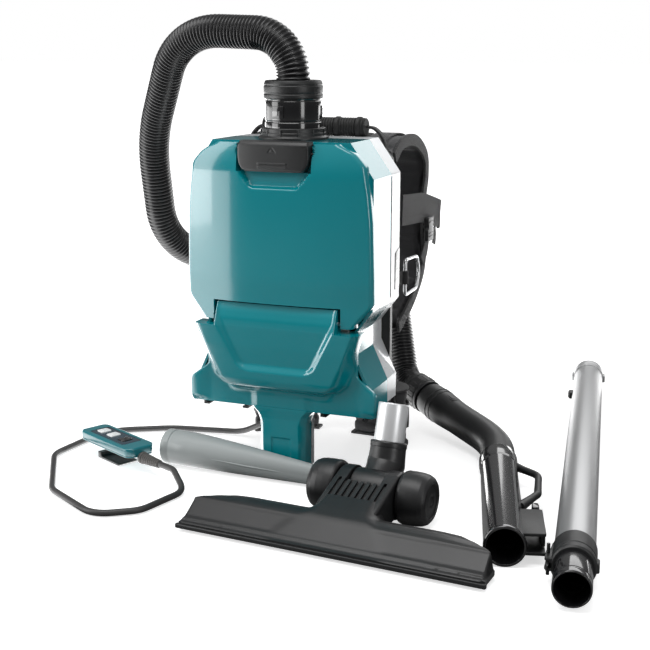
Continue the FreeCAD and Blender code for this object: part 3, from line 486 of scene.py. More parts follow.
def build_floor():
    mesh = bpy.data.meshes.new("floor")
    reach = 40.0
    mesh.from_pydata([(-reach, -reach, 0), (reach, -reach, 0), (reach, reach, 0),
                      (-reach, reach, 0)], [], [(0, 1, 2, 3)])
    floor = bpy.data.objects.new("floor", mesh)
    bpy.context.scene.collection.objects.link(floor)
    paper = bpy.data.materials.new("paper_floor")
    paper.use_nodes = True
    tree = paper.node_tree
    plain = tree.nodes["Principled BSDF"]
    plain.inputs["Base Color"].default_value = (0.80, 0.80, 0.80, 1)
    plain.inputs["Roughness"].default_value = 0.6
    plain.inputs["Specular IOR Level"].default_value = 0.2
    glow = tree.nodes.new("ShaderNodeEmission")
    spot = tree.nodes.new("ShaderNodeNewGeometry")
    away = tree.nodes.new("ShaderNodeVectorMath")
    away.operation = "LENGTH"
    fade = tree.nodes.new("ShaderNodeMapRange")
    fade.inputs["From Min"].default_value = 0.5
    fade.inputs["From Max"].default_value = 1.8
    fade.inputs["To Min"].default_value = FLOOR_GLOW
    fade.inputs["To Max"].default_value = 1.0
    tree.links.new(spot.outputs["Position"], away.inputs[0])
    tree.links.new(away.outputs["Value"], fade.inputs["Value"])
    tree.links.new(fade.outputs["Result"], glow.inputs["Strength"])
    both = tree.nodes.new("ShaderNodeAddShader")
    tree.links.new(plain.outputs["BSDF"], both.inputs[0])
    tree.links.new(glow.outputs["Emission"], both.inputs[1])
    dull = tree.nodes.new("ShaderNodeBsdfDiffuse")
    dull.inputs["Color"].default_value = (0.26, 0.26, 0.26, 1)
    lit = tree.nodes.new("ShaderNodeAddShader")
    tree.links.new(dull.outputs["BSDF"], lit.inputs[0])
    tree.links.new(build_sweep(tree, spot), lit.inputs[1])
    seen_and_felt(tree, both.outputs["Shader"], lit.outputs["Shader"],
                  tree.nodes["Material Output"])
    mesh.materials.append(paper)


def build_world():
    world = bpy.data.worlds.new("studio")
    world.use_nodes = True
    tree = world.node_tree
    seen = tree.nodes["Background"]
    seen.inputs["Color"].default_value = (1, 1, 1, 1)
    felt = tree.nodes.new("ShaderNodeBackground")
    felt.inputs["Color"].default_value = (1, 1, 1, 1)
    where = tree.nodes.new("ShaderNodeTexCoord")
    split = tree.nodes.new("ShaderNodeSeparateXYZ")
    height = tree.nodes.new("ShaderNodeMapRange")
    height.inputs["From Min"].default_value = 0.0
    height.inputs["From Max"].default_value = 0.9
    height.inputs["To Min"].default_value = WORLD_LOW
    height.inputs["To Max"].default_value = WORLD_HIGH
    tree.links.new(where.outputs["Generated"], split.inputs["Vector"])
    tree.links.new(split.outputs["Z"], height.inputs["Value"])
    tree.links.new(height.outputs["Result"], felt.inputs["Strength"])
    seen_and_felt(tree, seen.outputs["Background"], felt.outputs["Background"],
                  tree.nodes["World Output"])
    bpy.context.scene.world = world


FLOOR_GLOW = 0.62
SWEEP_TURN = math.radians(35)
SWEEP_GLOW = 3.5
WORLD_LOW, WORLD_HIGH = 0.10, 0.50
LAMPS = [("left_softbox", (-1.55, -0.95, 0.75), (1.0, 1.6), 22),
         ("top_softbox", (-0.2, -0.5, 2.3), (1.8, 1.2), 28),
         ("right_strip", (1.8, -1.0, 0.7), (0.5, 1.4), 10),
         ("back_light", (0.4, 2.0, 1.3), (1.8, 1.0), 12)]


def build_stage():
    build_floor()
    build_world()
    for name, spot, size, power in LAMPS:
        data = bpy.data.lights.new(name, "AREA")
        data.shape = "RECTANGLE"
        data.size, data.size_y = size
        data.energy = power
        lamp = bpy.data.objects.new(name, data)
        lamp.location = spot
        aim = Vector((0.02, 0.02, 0.2)) - Vector(spot)
        lamp.rotation_euler = aim.to_track_quat("-Z", "Y").to_euler()
        bpy.context.scene.collection.objects.link(lamp)
    bpy.context.scene.view_settings.view_transform = "Standard"


def build_camera():
    """A 66.5 mm view, 21.5 degrees to the right of the front and 12.9 degrees down."""
    data = bpy.data.cameras.new("camera")
    data.lens = 66.46
    data.sensor_width = 36.0
    camera = bpy.data.objects.new("camera", data)
    camera.location = Vector((516.2, -1192.0, 467.3)) * MM
    azimuth, pitch = math.radians(21.5), math.radians(12.907)
    ahead = Vector((-math.sin(azimuth) * math.cos(pitch), math.cos(azimuth) * math.cos(pitch),
                    -math.sin(pitch)))
    camera.rotation_euler = ahead.to_track_quat("-Z", "Y").to_euler()
    bpy.context.scene.collection.objects.link(camera)
    bpy.context.scene.camera = camera


build_stage()
build_camera()


# ------------------------------------------------------------ shapes

class Shape:
    """Several closed forms gathered into one piece."""

    def __init__(self, matrix=None):
        self.matrix = matrix or Matrix.Identity(4)
        self.verts = []
        self.faces = []

    def add(self, form, matrix=None):
        verts, faces = form
        start = len(self.verts)
        if matrix:
            verts = moved(verts, matrix)
        self.verts.extend(self.matrix @ Vector(v) for v in verts)
        self.faces.extend(tuple(i + start for i in face) for face in faces)
        return self

    def build(self, name, finish, body, sharp=32):
        return make(name, self.verts, self.faces, FINISHES[finish], body, sharp)


def axes(role):
    """A matrix that lays a form drawn in (u, v) and pushed along w onto row axes."""
    rows = {"XY": ((1, 0, 0), (0, 1, 0), (0, 0, 1)), "XZ": ((1, 0, 0), (0, 0, 1), (0, 1, 0)),
            "YZ": ((0, 0, 1), (1, 0, 0), (0, 1, 0))}[role]
    return Matrix(rows).to_4x4()


def pushed(outline, low, high, edge=1.0, steps=3, role="XY"):
    """Push a rounded outline between two levels, with rounded rims."""
    sections = []
    for level, side in ((low, 1), (high, -1)):
        order = range(steps + 1) if side == 1 else range(steps, -1, -1)
        for k in order:
            angle = math.pi / 2 * k / steps
            depth = edge * (1 - math.sin(angle))
            height = level + side * edge * (1 - math.cos(angle))
            sections.append([(p.x, p.y, height) for p in shrink(outline, depth)])
    verts, faces = rings(sections)
    return moved(verts, axes(role)), faces


def oblong(u0, u1, v0, v1, radius=2.0, step=1.0):
    radius = min(radius, (u1 - u0) * 0.49, (v1 - v0) * 0.49)
    return rounded([(u0, v0, radius), (u1, v0, radius), (u1, v1, radius), (u0, v1, radius)],
                   step)


def brick(low, high, edge=0.8, corner=1.6):
    """A softened block between two corners."""
    return pushed(oblong(low[0], high[0], low[1], high[1], max(corner, edge * 1.05)),
                  low[2], high[2], edge)


def about(spot, heading):
    """A matrix that puts a form's own Z along a heading at a spot."""
    turn = Vector(heading).to_track_quat("Z", "Y").to_matrix().to_4x4()
    return Matrix.Translation(Vector(spot)) @ turn


class Curve:
    """A value read along a broken line, eased over a short window."""

    def __init__(self, points, window=2.0):
        self.points = points
        self.window = window

    def plain(self, at):
        points = self.points
        if at <= points[0][0]:
            return points[0][1]
        for (a, u), (b, v) in zip(points, points[1:]):
            if at <= b:
                return u + (v - u) * (at - a) / (b - a) if b > a else v
        return points[-1][1]

    def __call__(self, at):
        if self.window <= 0:
            return self.plain(at)
        offsets = (-1, -0.6, -0.2, 0.2, 0.6, 1)
        return sum(self.plain(at + self.window * o) for o in offsets) / len(offsets)


def marks_to(limit, step, extra=()):
    """Column positions from the middle outwards, with extra lines where wanted."""
    count = int(limit / step)
    found = {round(i * step, 3) for i in range(count + 1)} | {round(e, 3) for e in extra}
    return sorted(m for m in found if m <= limit)


def standing(levels, half, face, back, marks, edge=4.0, inner=None, outer_columns=8, arc=5):
    """A form made of level rings: half(z) wide, face(x, z) in front, back(z) behind.

    inner(x, z), where given, hollows it from behind.
    """
    limit = marks[-1]
    sections = []
    for z in levels:
        wide = half(z)
        flat = wide - edge
        room = flat * 0.88
        scale = min(1.0, room / limit)
        right = [m * scale for m in marks]
        right += [right[-1] + (flat - right[-1]) * k / outer_columns
                  for k in range(1, outer_columns + 1)]
        across = [-x for x in reversed(right[1:])] + right
        rear = back(z)
        section = [(x, min(face(x, z), rear - 0.3), z) for x in across]
        depth = min(face(flat, z), rear - 0.3)
        turn = min(edge, rear - 0.2 - depth)
        for k in range(1, arc + 1):
            angle = math.pi / 2 * k / arc
            section.append((flat + edge * math.sin(angle), depth + turn * (1 - math.cos(angle)),
                            z))
        section.append((wide, rear, z))
        if inner is None:
            section.append((-wide, rear, z))
        else:
            gap = 3.0
            section.append((wide - gap, rear, z))
            inside = [(wide - gap) * (1 - k / 24.0) for k in range(0, 49)]
            section.extend((x, min(rear - 0.01, inner(x, z)), z) for x in inside)
            section.append((gap - wide, rear, z))
            section.append((-wide, rear, z))
        depth = min(face(-flat, z), rear - 0.3)
        for k in range(arc, 0, -1):
            angle = math.pi / 2 * k / arc
            section.append((-flat - edge * math.sin(angle),
                            depth + turn * (1 - math.cos(angle)), z))
        sections.append(section)
    return rings(sections)


def levels_between(low, high, step, extra=()):
    count = int((high - low) / step)
    found = {round(low + i * step, 3) for i in range(count + 1)} | {high}
    found |= {round(e, 3) for e in extra}
    return sorted(z for z in found if low <= z <= high)


def carve(thing, cutters):
    """Cut closed forms out of a piece for good."""
    forms = []
    for verts, faces in cutters:
        mesh = bpy.data.meshes.new("cutter")
        mesh.from_pydata([Vector(v) * MM for v in verts], [], faces)
        work = bmesh.new()
        work.from_mesh(mesh)
        bmesh.ops.recalc_face_normals(work, faces=work.faces)
        work.to_mesh(mesh)
        work.free()
        form = bpy.data.objects.new("cutter", mesh)
        bpy.context.scene.collection.objects.link(form)
        forms.append(form)
        cut = thing.modifiers.new("cut", "BOOLEAN")
        cut.operation = "DIFFERENCE"
        cut.solver = "EXACT"
        cut.object = form
    settle(thing)
    for form in forms:
        mesh = form.data
        bpy.data.objects.remove(form)
        bpy.data.meshes.remove(mesh)
    return thing


def settle(thing):
    """Bake a piece's modifiers into its mesh."""
    bpy.context.view_layer.update()
    graph = bpy.context.evaluated_depsgraph_get()
    baked = bpy.data.meshes.new_from_object(thing.evaluated_get(graph))
    thing.modifiers.clear()
    old = thing.data
    thing.data = baked
    bpy.data.meshes.remove(old)
    baked.shade_smooth()
    baked.set_sharp_from_angle(angle=math.radians(32))
    return thing


def groove(distance, width, depth):
    """A rounded groove's depth at a distance from its middle line."""
    return depth * max(0.0, 1 - (distance / width) ** 2)


def stroke(x, z, ends, width):
    """0 to 1 by closeness to a chain of straight lines."""
    best = 1e9
    for (ax, az), (bx, bz) in zip(ends, ends[1:]):
        dx, dz = bx - ax, bz - az
        t = max(0.0, min(1.0, ((x - ax) * dx + (z - az) * dz) / (dx * dx + dz * dz)))
        best = min(best, math.hypot(x - ax - dx * t, z - az - dz * t))
    return max(0.0, min(1.0, (width - best) / (width * 0.45)))


# ------------------------------------------------------------ front cover and latch

HINGE = (-21.0, 181.0)
cover_half = Curve([(177, 87.5), (187, 96), (202, 109), (230, 109), (290, 107.5), (318, 105), (350, 100),
                    (363, 88), (372, 68)], 3.0)
recess_half = Curve([(322, 25), (324, 28), (341, 41.5), (352, 43)], 1.0)


def cover_face(x, z):
    """The cover's outer surface: crowned, with the latch recess and the tab's notch."""
    side = min(1.0, abs(x) / 109.0)
    y = -33.0 + 11.5 * side ** 2.6
    y += 7.5 * max(0.0, (z - 334) / 38) ** 2.2
    y += 1.2 * smoothstep(228, 196, z)
    if z > 341.6 and abs(x) < 43.0:
        return -14.6 if z > 367.5 else -19.6
    finger = smoothstep(0, 3.5, recess_half(z) - abs(x)) * smoothstep(322.5, 327.5, z)
    y += 8.5 * finger * (0.55 + 0.45 * smoothstep(326, 341, z))
    if z < 198.9 and abs(x) < 74.6:
        return -12.5
    return y


def cover_inner(x, z):
    if z < 202 or z > 367.6:
        return -12.0
    if z > 338.5 and abs(x) < 48.7:
        return -16.6
    return max(-23.5, cover_face(x, z) + 3.2)


def build_cover():
    z_levels = levels_between(177.2, 371.6, 2.0, (186.9, 187.1, 198.7, 199.1, 341.4, 341.8, 367.4, 367.6, 322.5,
                                                 324, 325, 325.5, 327, 370.8))
    columns = marks_to(76.0, 2.0, (74.3, 74.9, 42.7, 43.3))
    shape = Shape()
    shape.add(standing(z_levels, cover_half, cover_face, lambda z: -15.0 if z < 187 else -12.0,
                       columns, 6.0, cover_inner, 16))
    thing = shape.build("cover_panel", "teal", "cover", 38)
    sweep = lathe([(0.01, -74.6), (18.6, -74.6), (18.6, 74.6), (0.01, 74.6)], 96)
    cutters = [moved_form(sweep, about((0, HINGE[0], HINGE[1]), (1, 0, 0)))]
    for x in (24, -24):
        cutters.append(brick((x - 5, -24, 341.9), (x + 5, -10, 362), 0.3, 0.5))
    bore = lathe([(0.01, -14), (2.6, -14), (2.6, 14), (0.01, 14)], 32)
    for x in (84, -84):
        cutters.append(moved_form(bore, about((x, *HINGE), (1, 0, 0))))
    carve(thing, cutters)
    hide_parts("front_cover")


def moved_form(form, matrix):
    verts, faces = form
    return moved(verts, matrix), faces


def latch_face(x, z):
    y = -35.0 + 1.8 * (abs(x) / 41.0) ** 3
    y += 3.4 * smoothstep(368, 374, z) ** 2
    y += 2.2 * smoothstep(346, 342, z) ** 2
    y -= 0.75 * max(stroke(x, z, [(-16, 346.6), (16, 346.6)], 0.9),
                    stroke(x, z, [(-16, 350.4), (16, 350.4)], 0.9))
    y += 0.35 * stroke(x, z, [(-4, 362.4), (0, 367.2), (4, 362.4), (-4, 362.4)], 0.75)
    return y


def build_latch():
    half = Curve([(342, 33), (345, 36.8), (350, 39.8), (356, 41), (368, 41), (374, 39.5)], 1.2)
    shape = Shape()
    z_levels = levels_between(342.0, 374.0, 0.75)
    shape.add(standing(z_levels, half, latch_face, lambda z: -22.0 if z < 369.6 else -17.2,
                       marks_to(32.0, 0.8), 2.6, None, 8))
    pin = soft_corner([(0.01, -45), (1.5, -45), (1.5, 45), (0.01, 45)], 0.3)
    shape.add(lathe(pin, 24), about((0, -24, 361), (1, 0, 0)))
    for x in (24, -24):
        shape.add(brick((x - 3, -23, 350), (x + 3, -5, 354), 0.5))
        shape.add(brick((x - 3, -8, 350), (x + 3, -5, 359.4), 0.5))
    thing = shape.build("latch_paddle", "black", "latch", 30)
    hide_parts("latch")


# ------------------------------------------------------------ lower housing and leg

bulge_half = Curve([(101, 49), (103.5, 55), (112, 65), (132, 74), (172.4, 90), (172.5, 71),
                    (198, 71)], 0)
bulge_front = Curve([(98, -20), (104, -30.5), (112, -33), (150, -36.8), (172, -38), (181, -37.4),
                     (190, -34.8), (197, -31)], 2.0)
outer_recess = Curve([(122, 36), (125, 41), (131, 47), (176, 70), (182, 73), (198, 74)], 1.5)
skirt_half = Curve([(77, 111.5), (105, 111.5), (121, 90), (150, 90), (172, 97)], 3.0)


def lower_face(x, z):
    """The lower housing's front: a rimmed bulge with a sunk panel, and two flanges."""
    ax = abs(x)
    lift = smoothstep(16, 0, ax - bulge_half(min(z, 172.3))) * smoothstep(90, 105, z)
    y = -15.0 + (bulge_front(z) + 15.0) * lift
    y += 1.6 * (ax / 90.0) ** 2 * lift
    sunk = smoothstep(-1.5, 7.5, outer_recess(z) - ax) * smoothstep(121, 130.5, z)
    y += 4.6 * sunk
    flange = smoothstep(86, 104, ax) * smoothstep(122, 104, z)
    y -= 2.2 * flange * smoothstep(77, 84, z)
    root = smoothstep(38, 27, ax) * smoothstep(104, 88, z)
    y -= 1.8 * root
    return y


def build_lower_housing():
    shape = Shape()
    low_levels = levels_between(77.2, 172.3, 1.6, (78, 79, 121, 123, 125, 127, 129, 130.5))
    shape.add(standing(low_levels, lambda z: skirt_half(z) - 1.8 * smoothstep(79, 77, z),
                       lower_face, lambda z: -12.05, marks_to(76.0, 1.8), 2.4, lower_inner, 14))
    tab_levels = levels_between(172.3, 197.0, 1.2, (194.4, 195.6, 196.4))
    shape.add(standing(tab_levels, lambda z: 71.0, lower_face, lambda z: -15.0,
                       marks_to(62.0, 2.0), 1.6, None, 8))
    thing = shape.build("lower_panel", "teal", "unit", 34)
    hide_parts("lower_housing")
    build_leg()


def lower_inner(x, z):
    if z < 104 or z > 170 or abs(x) > 60:
        return -12.1
    return max(-28.0, min(-12.1, lower_face(x, z) + 3.0))


def leg_face(x, z):
    y = -17.0
    y += groove(abs(max(abs(x) - 11.0, z - 43.0)), 0.9, 0.8) if z > 4 else 0
    inside = smoothstep(0, 1.2, min(11.0 - abs(x), 43.0 - z))
    return y + 1.1 * inside


def build_leg():
    half = Curve([(3, 27.2), (60, 27.6), (70, 31), (77, 38)], 2.0)
    sections = []
    for z in levels_between(3.0, 78.5, 1.0):
        wide = half(z)
        chamfer = 6.5
        row = [(x * (wide - chamfer) / 21.0, leg_face(x, z) - 1.2 * smoothstep(64, 78, z), z)
               for x in (i * 0.75 for i in range(-28, 29))]
        front = row[-1][1]
        row += [(wide - chamfer + 0.6, front + 0.25, z), (wide - 0.5, front + chamfer - 0.4, z),
                (wide, front + chamfer + 0.8, z), (wide, 7.2, z), (wide - 0.8, 8.0, z),
                (0.8 - wide, 8.0, z), (-wide, 7.2, z), (-wide, front + chamfer + 0.8, z),
                (0.5 - wide, front + chamfer - 0.4, z), (chamfer - wide - 0.6, front + 0.25, z)]
        sections.append(row)
    shape = Shape()
    shape.add(rings(sections))
    thing = shape.build("leg_front", "teal", "unit", 34)
    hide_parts("lower_housing")


build_cover()
build_latch()
build_lower_housing()

# ------------------------------------------------------------ hose, port and cuffs

HOSE_BENDS = [(0, 25, 484, 48), (-150, 46, 490, 95), (-222, 105, 360, 200),
              (-232, 150, 215, 90), (-150, 275, 190, 75), (22, 296, 196, 48), (65, 238, 50, 34)]
HANDLE_START = Vector((105, 209, 40))
HANDLE_HEADING = Vector((40, -29, -10)).normalized()


def build_hose():
    path = Path((0, 25, 423), HOSE_BENDS, HANDLE_START)
    pitch = 4.4
    stations = []
    first, last = 12.0, path.length - 10.0
    for k in range(int((last - first) / pitch)):
        start = first + k * pitch
        stations += [(start, 16.3), (start + 0.5, 16.6), (start + 1.3, 18.2), (start + 2.1, 18.5),
                     (start + 2.9, 18.2), (start + 3.7, 16.6)]
    shape = Shape()
    shape.add(tube(path, stations, 44, 15.0))
    shape.add(tube(path, [(0, 17.6), (12.2, 17.6)], 44, 15.0))
    shape.add(tube(path, [(path.length - 12, 17.6), (path.length, 17.6)], 44, 15.0))
    thing = shape.build("hose_ribbed", "hose", "unit", 50)
    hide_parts("hose")


def build_port():
    at = Matrix.Translation((0, 25, 0))
    base = Shape(at)
    base.add(lathe(soft_corner([(19, 373), (38.3, 373), (38.3, 375.6), (35.6, 377.4), (35.6, 380.2),
                                (34.9, 381), (34.9, 384.9), (34.2, 385.6), (31.0, 385.6),
                                (31.0, 376.3), (19, 376.3)], 0.5), 96))
    for k in range(12):
        angle = 2 * math.pi * k / 12
        rib = brick((34.6, -1.0, 377), (36.0, 1.0, 384.4), 0.3, 0.5)
        base.add(rib, Matrix.Rotation(angle, 4, "Z"))
    thing = base.build("port_collar", "black", "unit")
    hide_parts("hose_port")
    cuff = Shape(at)
    cuff.add(lathe(soft_corner([(26.2, 377), (30.9, 377), (30.9, 391), (30.2, 391.8), (30.2, 393),
                                (30.9, 393.8), (30.9, 413.6), (30.3, 414.4), (30.3, 415.4),
                                (30.9, 416.2), (30.9, 416.8), (26.2, 416.8)], 0.45), 96))
    for angle in (20, 140, 260):
        tab = brick((30.0, -7.0, 396), (31.6, 7.0, 409), 0.5, 2.0)
        cuff.add(tab, Matrix.Rotation(math.radians(angle), 4, "Z"))
        mark = brick((31.2, -1.0, 399), (32.0, 1.0, 406), 0.25, 0.5)
        cuff.add(mark, Matrix.Rotation(math.radians(angle), 4, "Z"))
    thing = cuff.build("cuff_barrel", "black_gloss", "cuff")
    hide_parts("hose_cuff")
    ring = Shape(at)
    ring.add(lathe(soft_corner([(28.2, 417), (32.3, 417), (32.3, 420.4), (31.6, 421.2),
                                (31.6, 422.4), (32.3, 423.2), (32.3, 429.4), (31.6, 430.2),
                                (31.6, 431.2), (31.9, 432), (30.4, 435.4), (28.2, 436)], 0.45), 96))
    thing = ring.build("cuff_swivel", "black", "cuff_ring")
    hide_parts("cuff_ring")


def build_grip():
    """The ribbed carrying grip at the top of the back plate."""
    profile = [(0.01, -62), (9.6, -62), (10.3, -61.2)]
    at = -60.0
    while at < 60:
        if any(abs(at - c) < 3.2 for c in (-52, -26, 0, 26, 52)):
            profile += [(10.5, at), (11.7, at + 0.8), (11.7, at + 4.6), (10.5, at + 5.4)]
            at += 6.2
        else:
            profile += [(9.7, at), (10.6, at + 0.6), (10.6, at + 1.8), (9.7, at + 2.4)]
            at += 3.2
    profile += [(10.3, 61.2), (9.6, 62), (0.01, 62)]
    profile = [p for i, p in enumerate(profile) if i == 0 or p[1] >= profile[i - 1][1]]
    shape = Shape(about((0, 88, 383), (1, 0, 0)))
    shape.add(lathe(profile, 48))
    thing = shape.build("grip_ribbed", "rubber", "unit", 40)
    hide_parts("carry_grip")


# ------------------------------------------------------------ curved handle

HANDLE = placed((292, -170, 20.5), 15.0)


def build_handle():
    socket_end = HANDLE @ Vector((0, 240, 0))
    before = HANDLE @ Vector((0, 300, 0))
    onward = HANDLE_START + HANDLE_HEADING * 48
    path = Path(HANDLE_START, [(*onward, 110), (*before, 110)], socket_end)
    long = path.length
    swell = Curve([(0, 19.6), (6, 21.2), (34, 21.4), (60, 19.6), (long - 40, 19.4), (long, 19.5)], 6)
    stations = [(0, 18.6), (0.5, 19.4), (1.4, 19.8)]
    stations += [(d, swell(d)) for d in (2 + i * 2.5 for i in range(int((long - 3) / 2.5)))]
    stations += [(long, 19.5)]
    sections_form = tube(path, stations, 56, 15.2)
    shape = Shape()
    shape.add(sections_form)
    for d in (20.0, 27.0):
        frame_here = frames_along(path, [d])[0]
        shape.add(lathe(soft_corner([(20.6, -0.9), (21.9, -0.9), (21.9, 0.9), (20.6, 0.9)], 0.4),
                        64), about(frame_here[0], path.heading(d)))
    spot = path.at(46)
    side = Vector((0, 0, 1)).cross(path.heading(46)).normalized()
    window = Matrix.Translation(spot + Vector((0, 0, 20.0))) @ Matrix(
        (path.heading(46), side, Vector((0, 0, 1)))).transposed().to_4x4()
    shape.add(brick((-9, -4.2, -2.0), (9, 4.2, 1.1), 0.5, 2.4), window)
    shape.add(brick((-6.4, -2.2, 0.6), (6.4, 2.2, 1.7), 0.4, 1.6), window)
    thing = shape.build("grip_bend", "black", "unit", 40)
    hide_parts("handle_grip")

    centre = HANDLE_START - HANDLE_HEADING * 31
    collar = Shape(about(centre, HANDLE_HEADING))
    collar.add(lathe(soft_corner([(18.4, 0.2), (20.2, 0.2), (21.6, 2.2), (21.6, 7), (20.9, 7.8),
                                  (20.9, 9), (21.6, 9.8), (21.6, 24), (20.9, 24.8), (20.9, 26.2),
                                  (21.6, 27), (21.3, 29.8), (18.4, 29.8)], 0.5), 72))
    for k in range(20):
        bar = brick((21.0, -1.1, 11.4), (22.1, 1.1, 22.4), 0.4, 0.9)
        collar.add(bar, Matrix.Rotation(2 * math.pi * k / 20, 4, "Z"))
    thing = collar.build("collar_knurled", "black", "handle_collar", 40)
    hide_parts("handle_collar")

    socket = Shape(HANDLE @ about((0, 0, 0), (0, 1, 0)))
    socket.add(lathe(soft_corner([(17.6, 0), (19.4, 0), (20.4, 1.0), (20.4, 5.4), (20.0, 6.2),
                                  (20.0, 206), (20.7, 210), (21.2, 222), (21.2, 236.8),
                                  (20.4, 237.6), (20.4, 238.8), (19.6, 240), (15.2, 240),
                                  (15.2, 90), (17.6, 90)], 0.4), 96))
    thing = socket.build("socket_tube", "black_gloss", "unit", 34)
    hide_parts("handle_socket")

    lock = Shape(HANDLE)
    body = rounded([(12.0, 2, 1), (33, 2, 2.5), (37, 10, 5), (37, 74, 8), (32, 98, 3),
                    (14, 101, 2)], 1.0)
    lock.add(pushed(body, -15, 15, 2.4, 4))
    for z in (-9.5, 9.5):
        lock.add(brick((16, 8, z - 1.6), (38.0, 70, z + 1.6), 0.7, 1.4))
    for y in (22, 30, 38, 46, 54):
        lock.add(brick((34, y - 1.4, -7.0), (38.2, y + 1.4, 7.0), 0.6, 1.2))
    hook = Path((17, 224, 0), [(42, 196, 0, 18), (38, 140, 0, 10)], (17, 100, 0))
    fat = Curve([(0, 5.2), (14, 4.0), (60, 3.8), (110, 4.2), (hook.length, 5.6)], 6)
    lock.add(tube(hook, [(d, fat(d)) for d in (i * 2.0 for i in range(int(hook.length / 2) + 1))],
                  28))
    lock.add(brick((17.5, 202, -4.6), (23.0, 226, 4.6), 1.2, 2.0))
    thing = lock.build("lock_block", "black", "unit", 36)
    bore = moved_form(lathe([(0.01, -6), (20.0, -6), (20.0, 245), (0.01, 245)], 96),
                      HANDLE @ about((0, 0, 0), (0, 1, 0)))
    well = moved_form(brick((27.2, 88, -6), (40, 102, 6), 0.3, 0.5), HANDLE)
    carve(thing, [bore, well])
    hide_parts("handle_lock")
    key = Shape(HANDLE)
    key.add(brick((29.4, 88.4, -5.6), (36.2, 101.6, 5.6), 1.0, 2.0))
    for y in (91.5, 95, 98.5):
        key.add(brick((35.8, y - 0.7, -4.2), (36.7, y + 0.7, 4.2), 0.3, 0.6))
    thing = key.build("release_key", "black_gloss", "handle_button")
    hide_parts("handle_button")


# ------------------------------------------------------------ floor nozzle

NOZZLE = placed((131, -178, 0), -4.5)
bar_profile = Curve([(-38, 9.2), (-36.6, 10.4), (-33.2, 10.8), (-32.2, 12.8), (-27, 14.4),
                     (-11.5, 25.4), (-10.2, 27.4), (-5, 29.0), (3, 30.0), (14, 27.4), (26, 21.0),
                     (33, 14.0)], 0.5)


def nozzle_top(x, y):
    """Height of the nozzle's upper surface, with the hood's ramp blended in."""
    ax = abs(x)
    low = bar_profile(y)
    low = 9 + (low - 9) * (1 - 0.9 * smoothstep(154.5, 160.5, ax) ** 2)
    low -= 3.2 * smoothstep(96, 158, ax) * smoothstep(-12, 6, y)
    flare = 30 + 26 * smoothstep(8, -34, y)
    share = smoothstep(16, 0, ax - flare + 6)
    ramp = Curve([(-34, 10), (-24, 17.5), (-6, 30), (10, 34.6), (40, 42)], 3)(y)
    crest = low + max(0.0, ramp - low) * share
    return crest


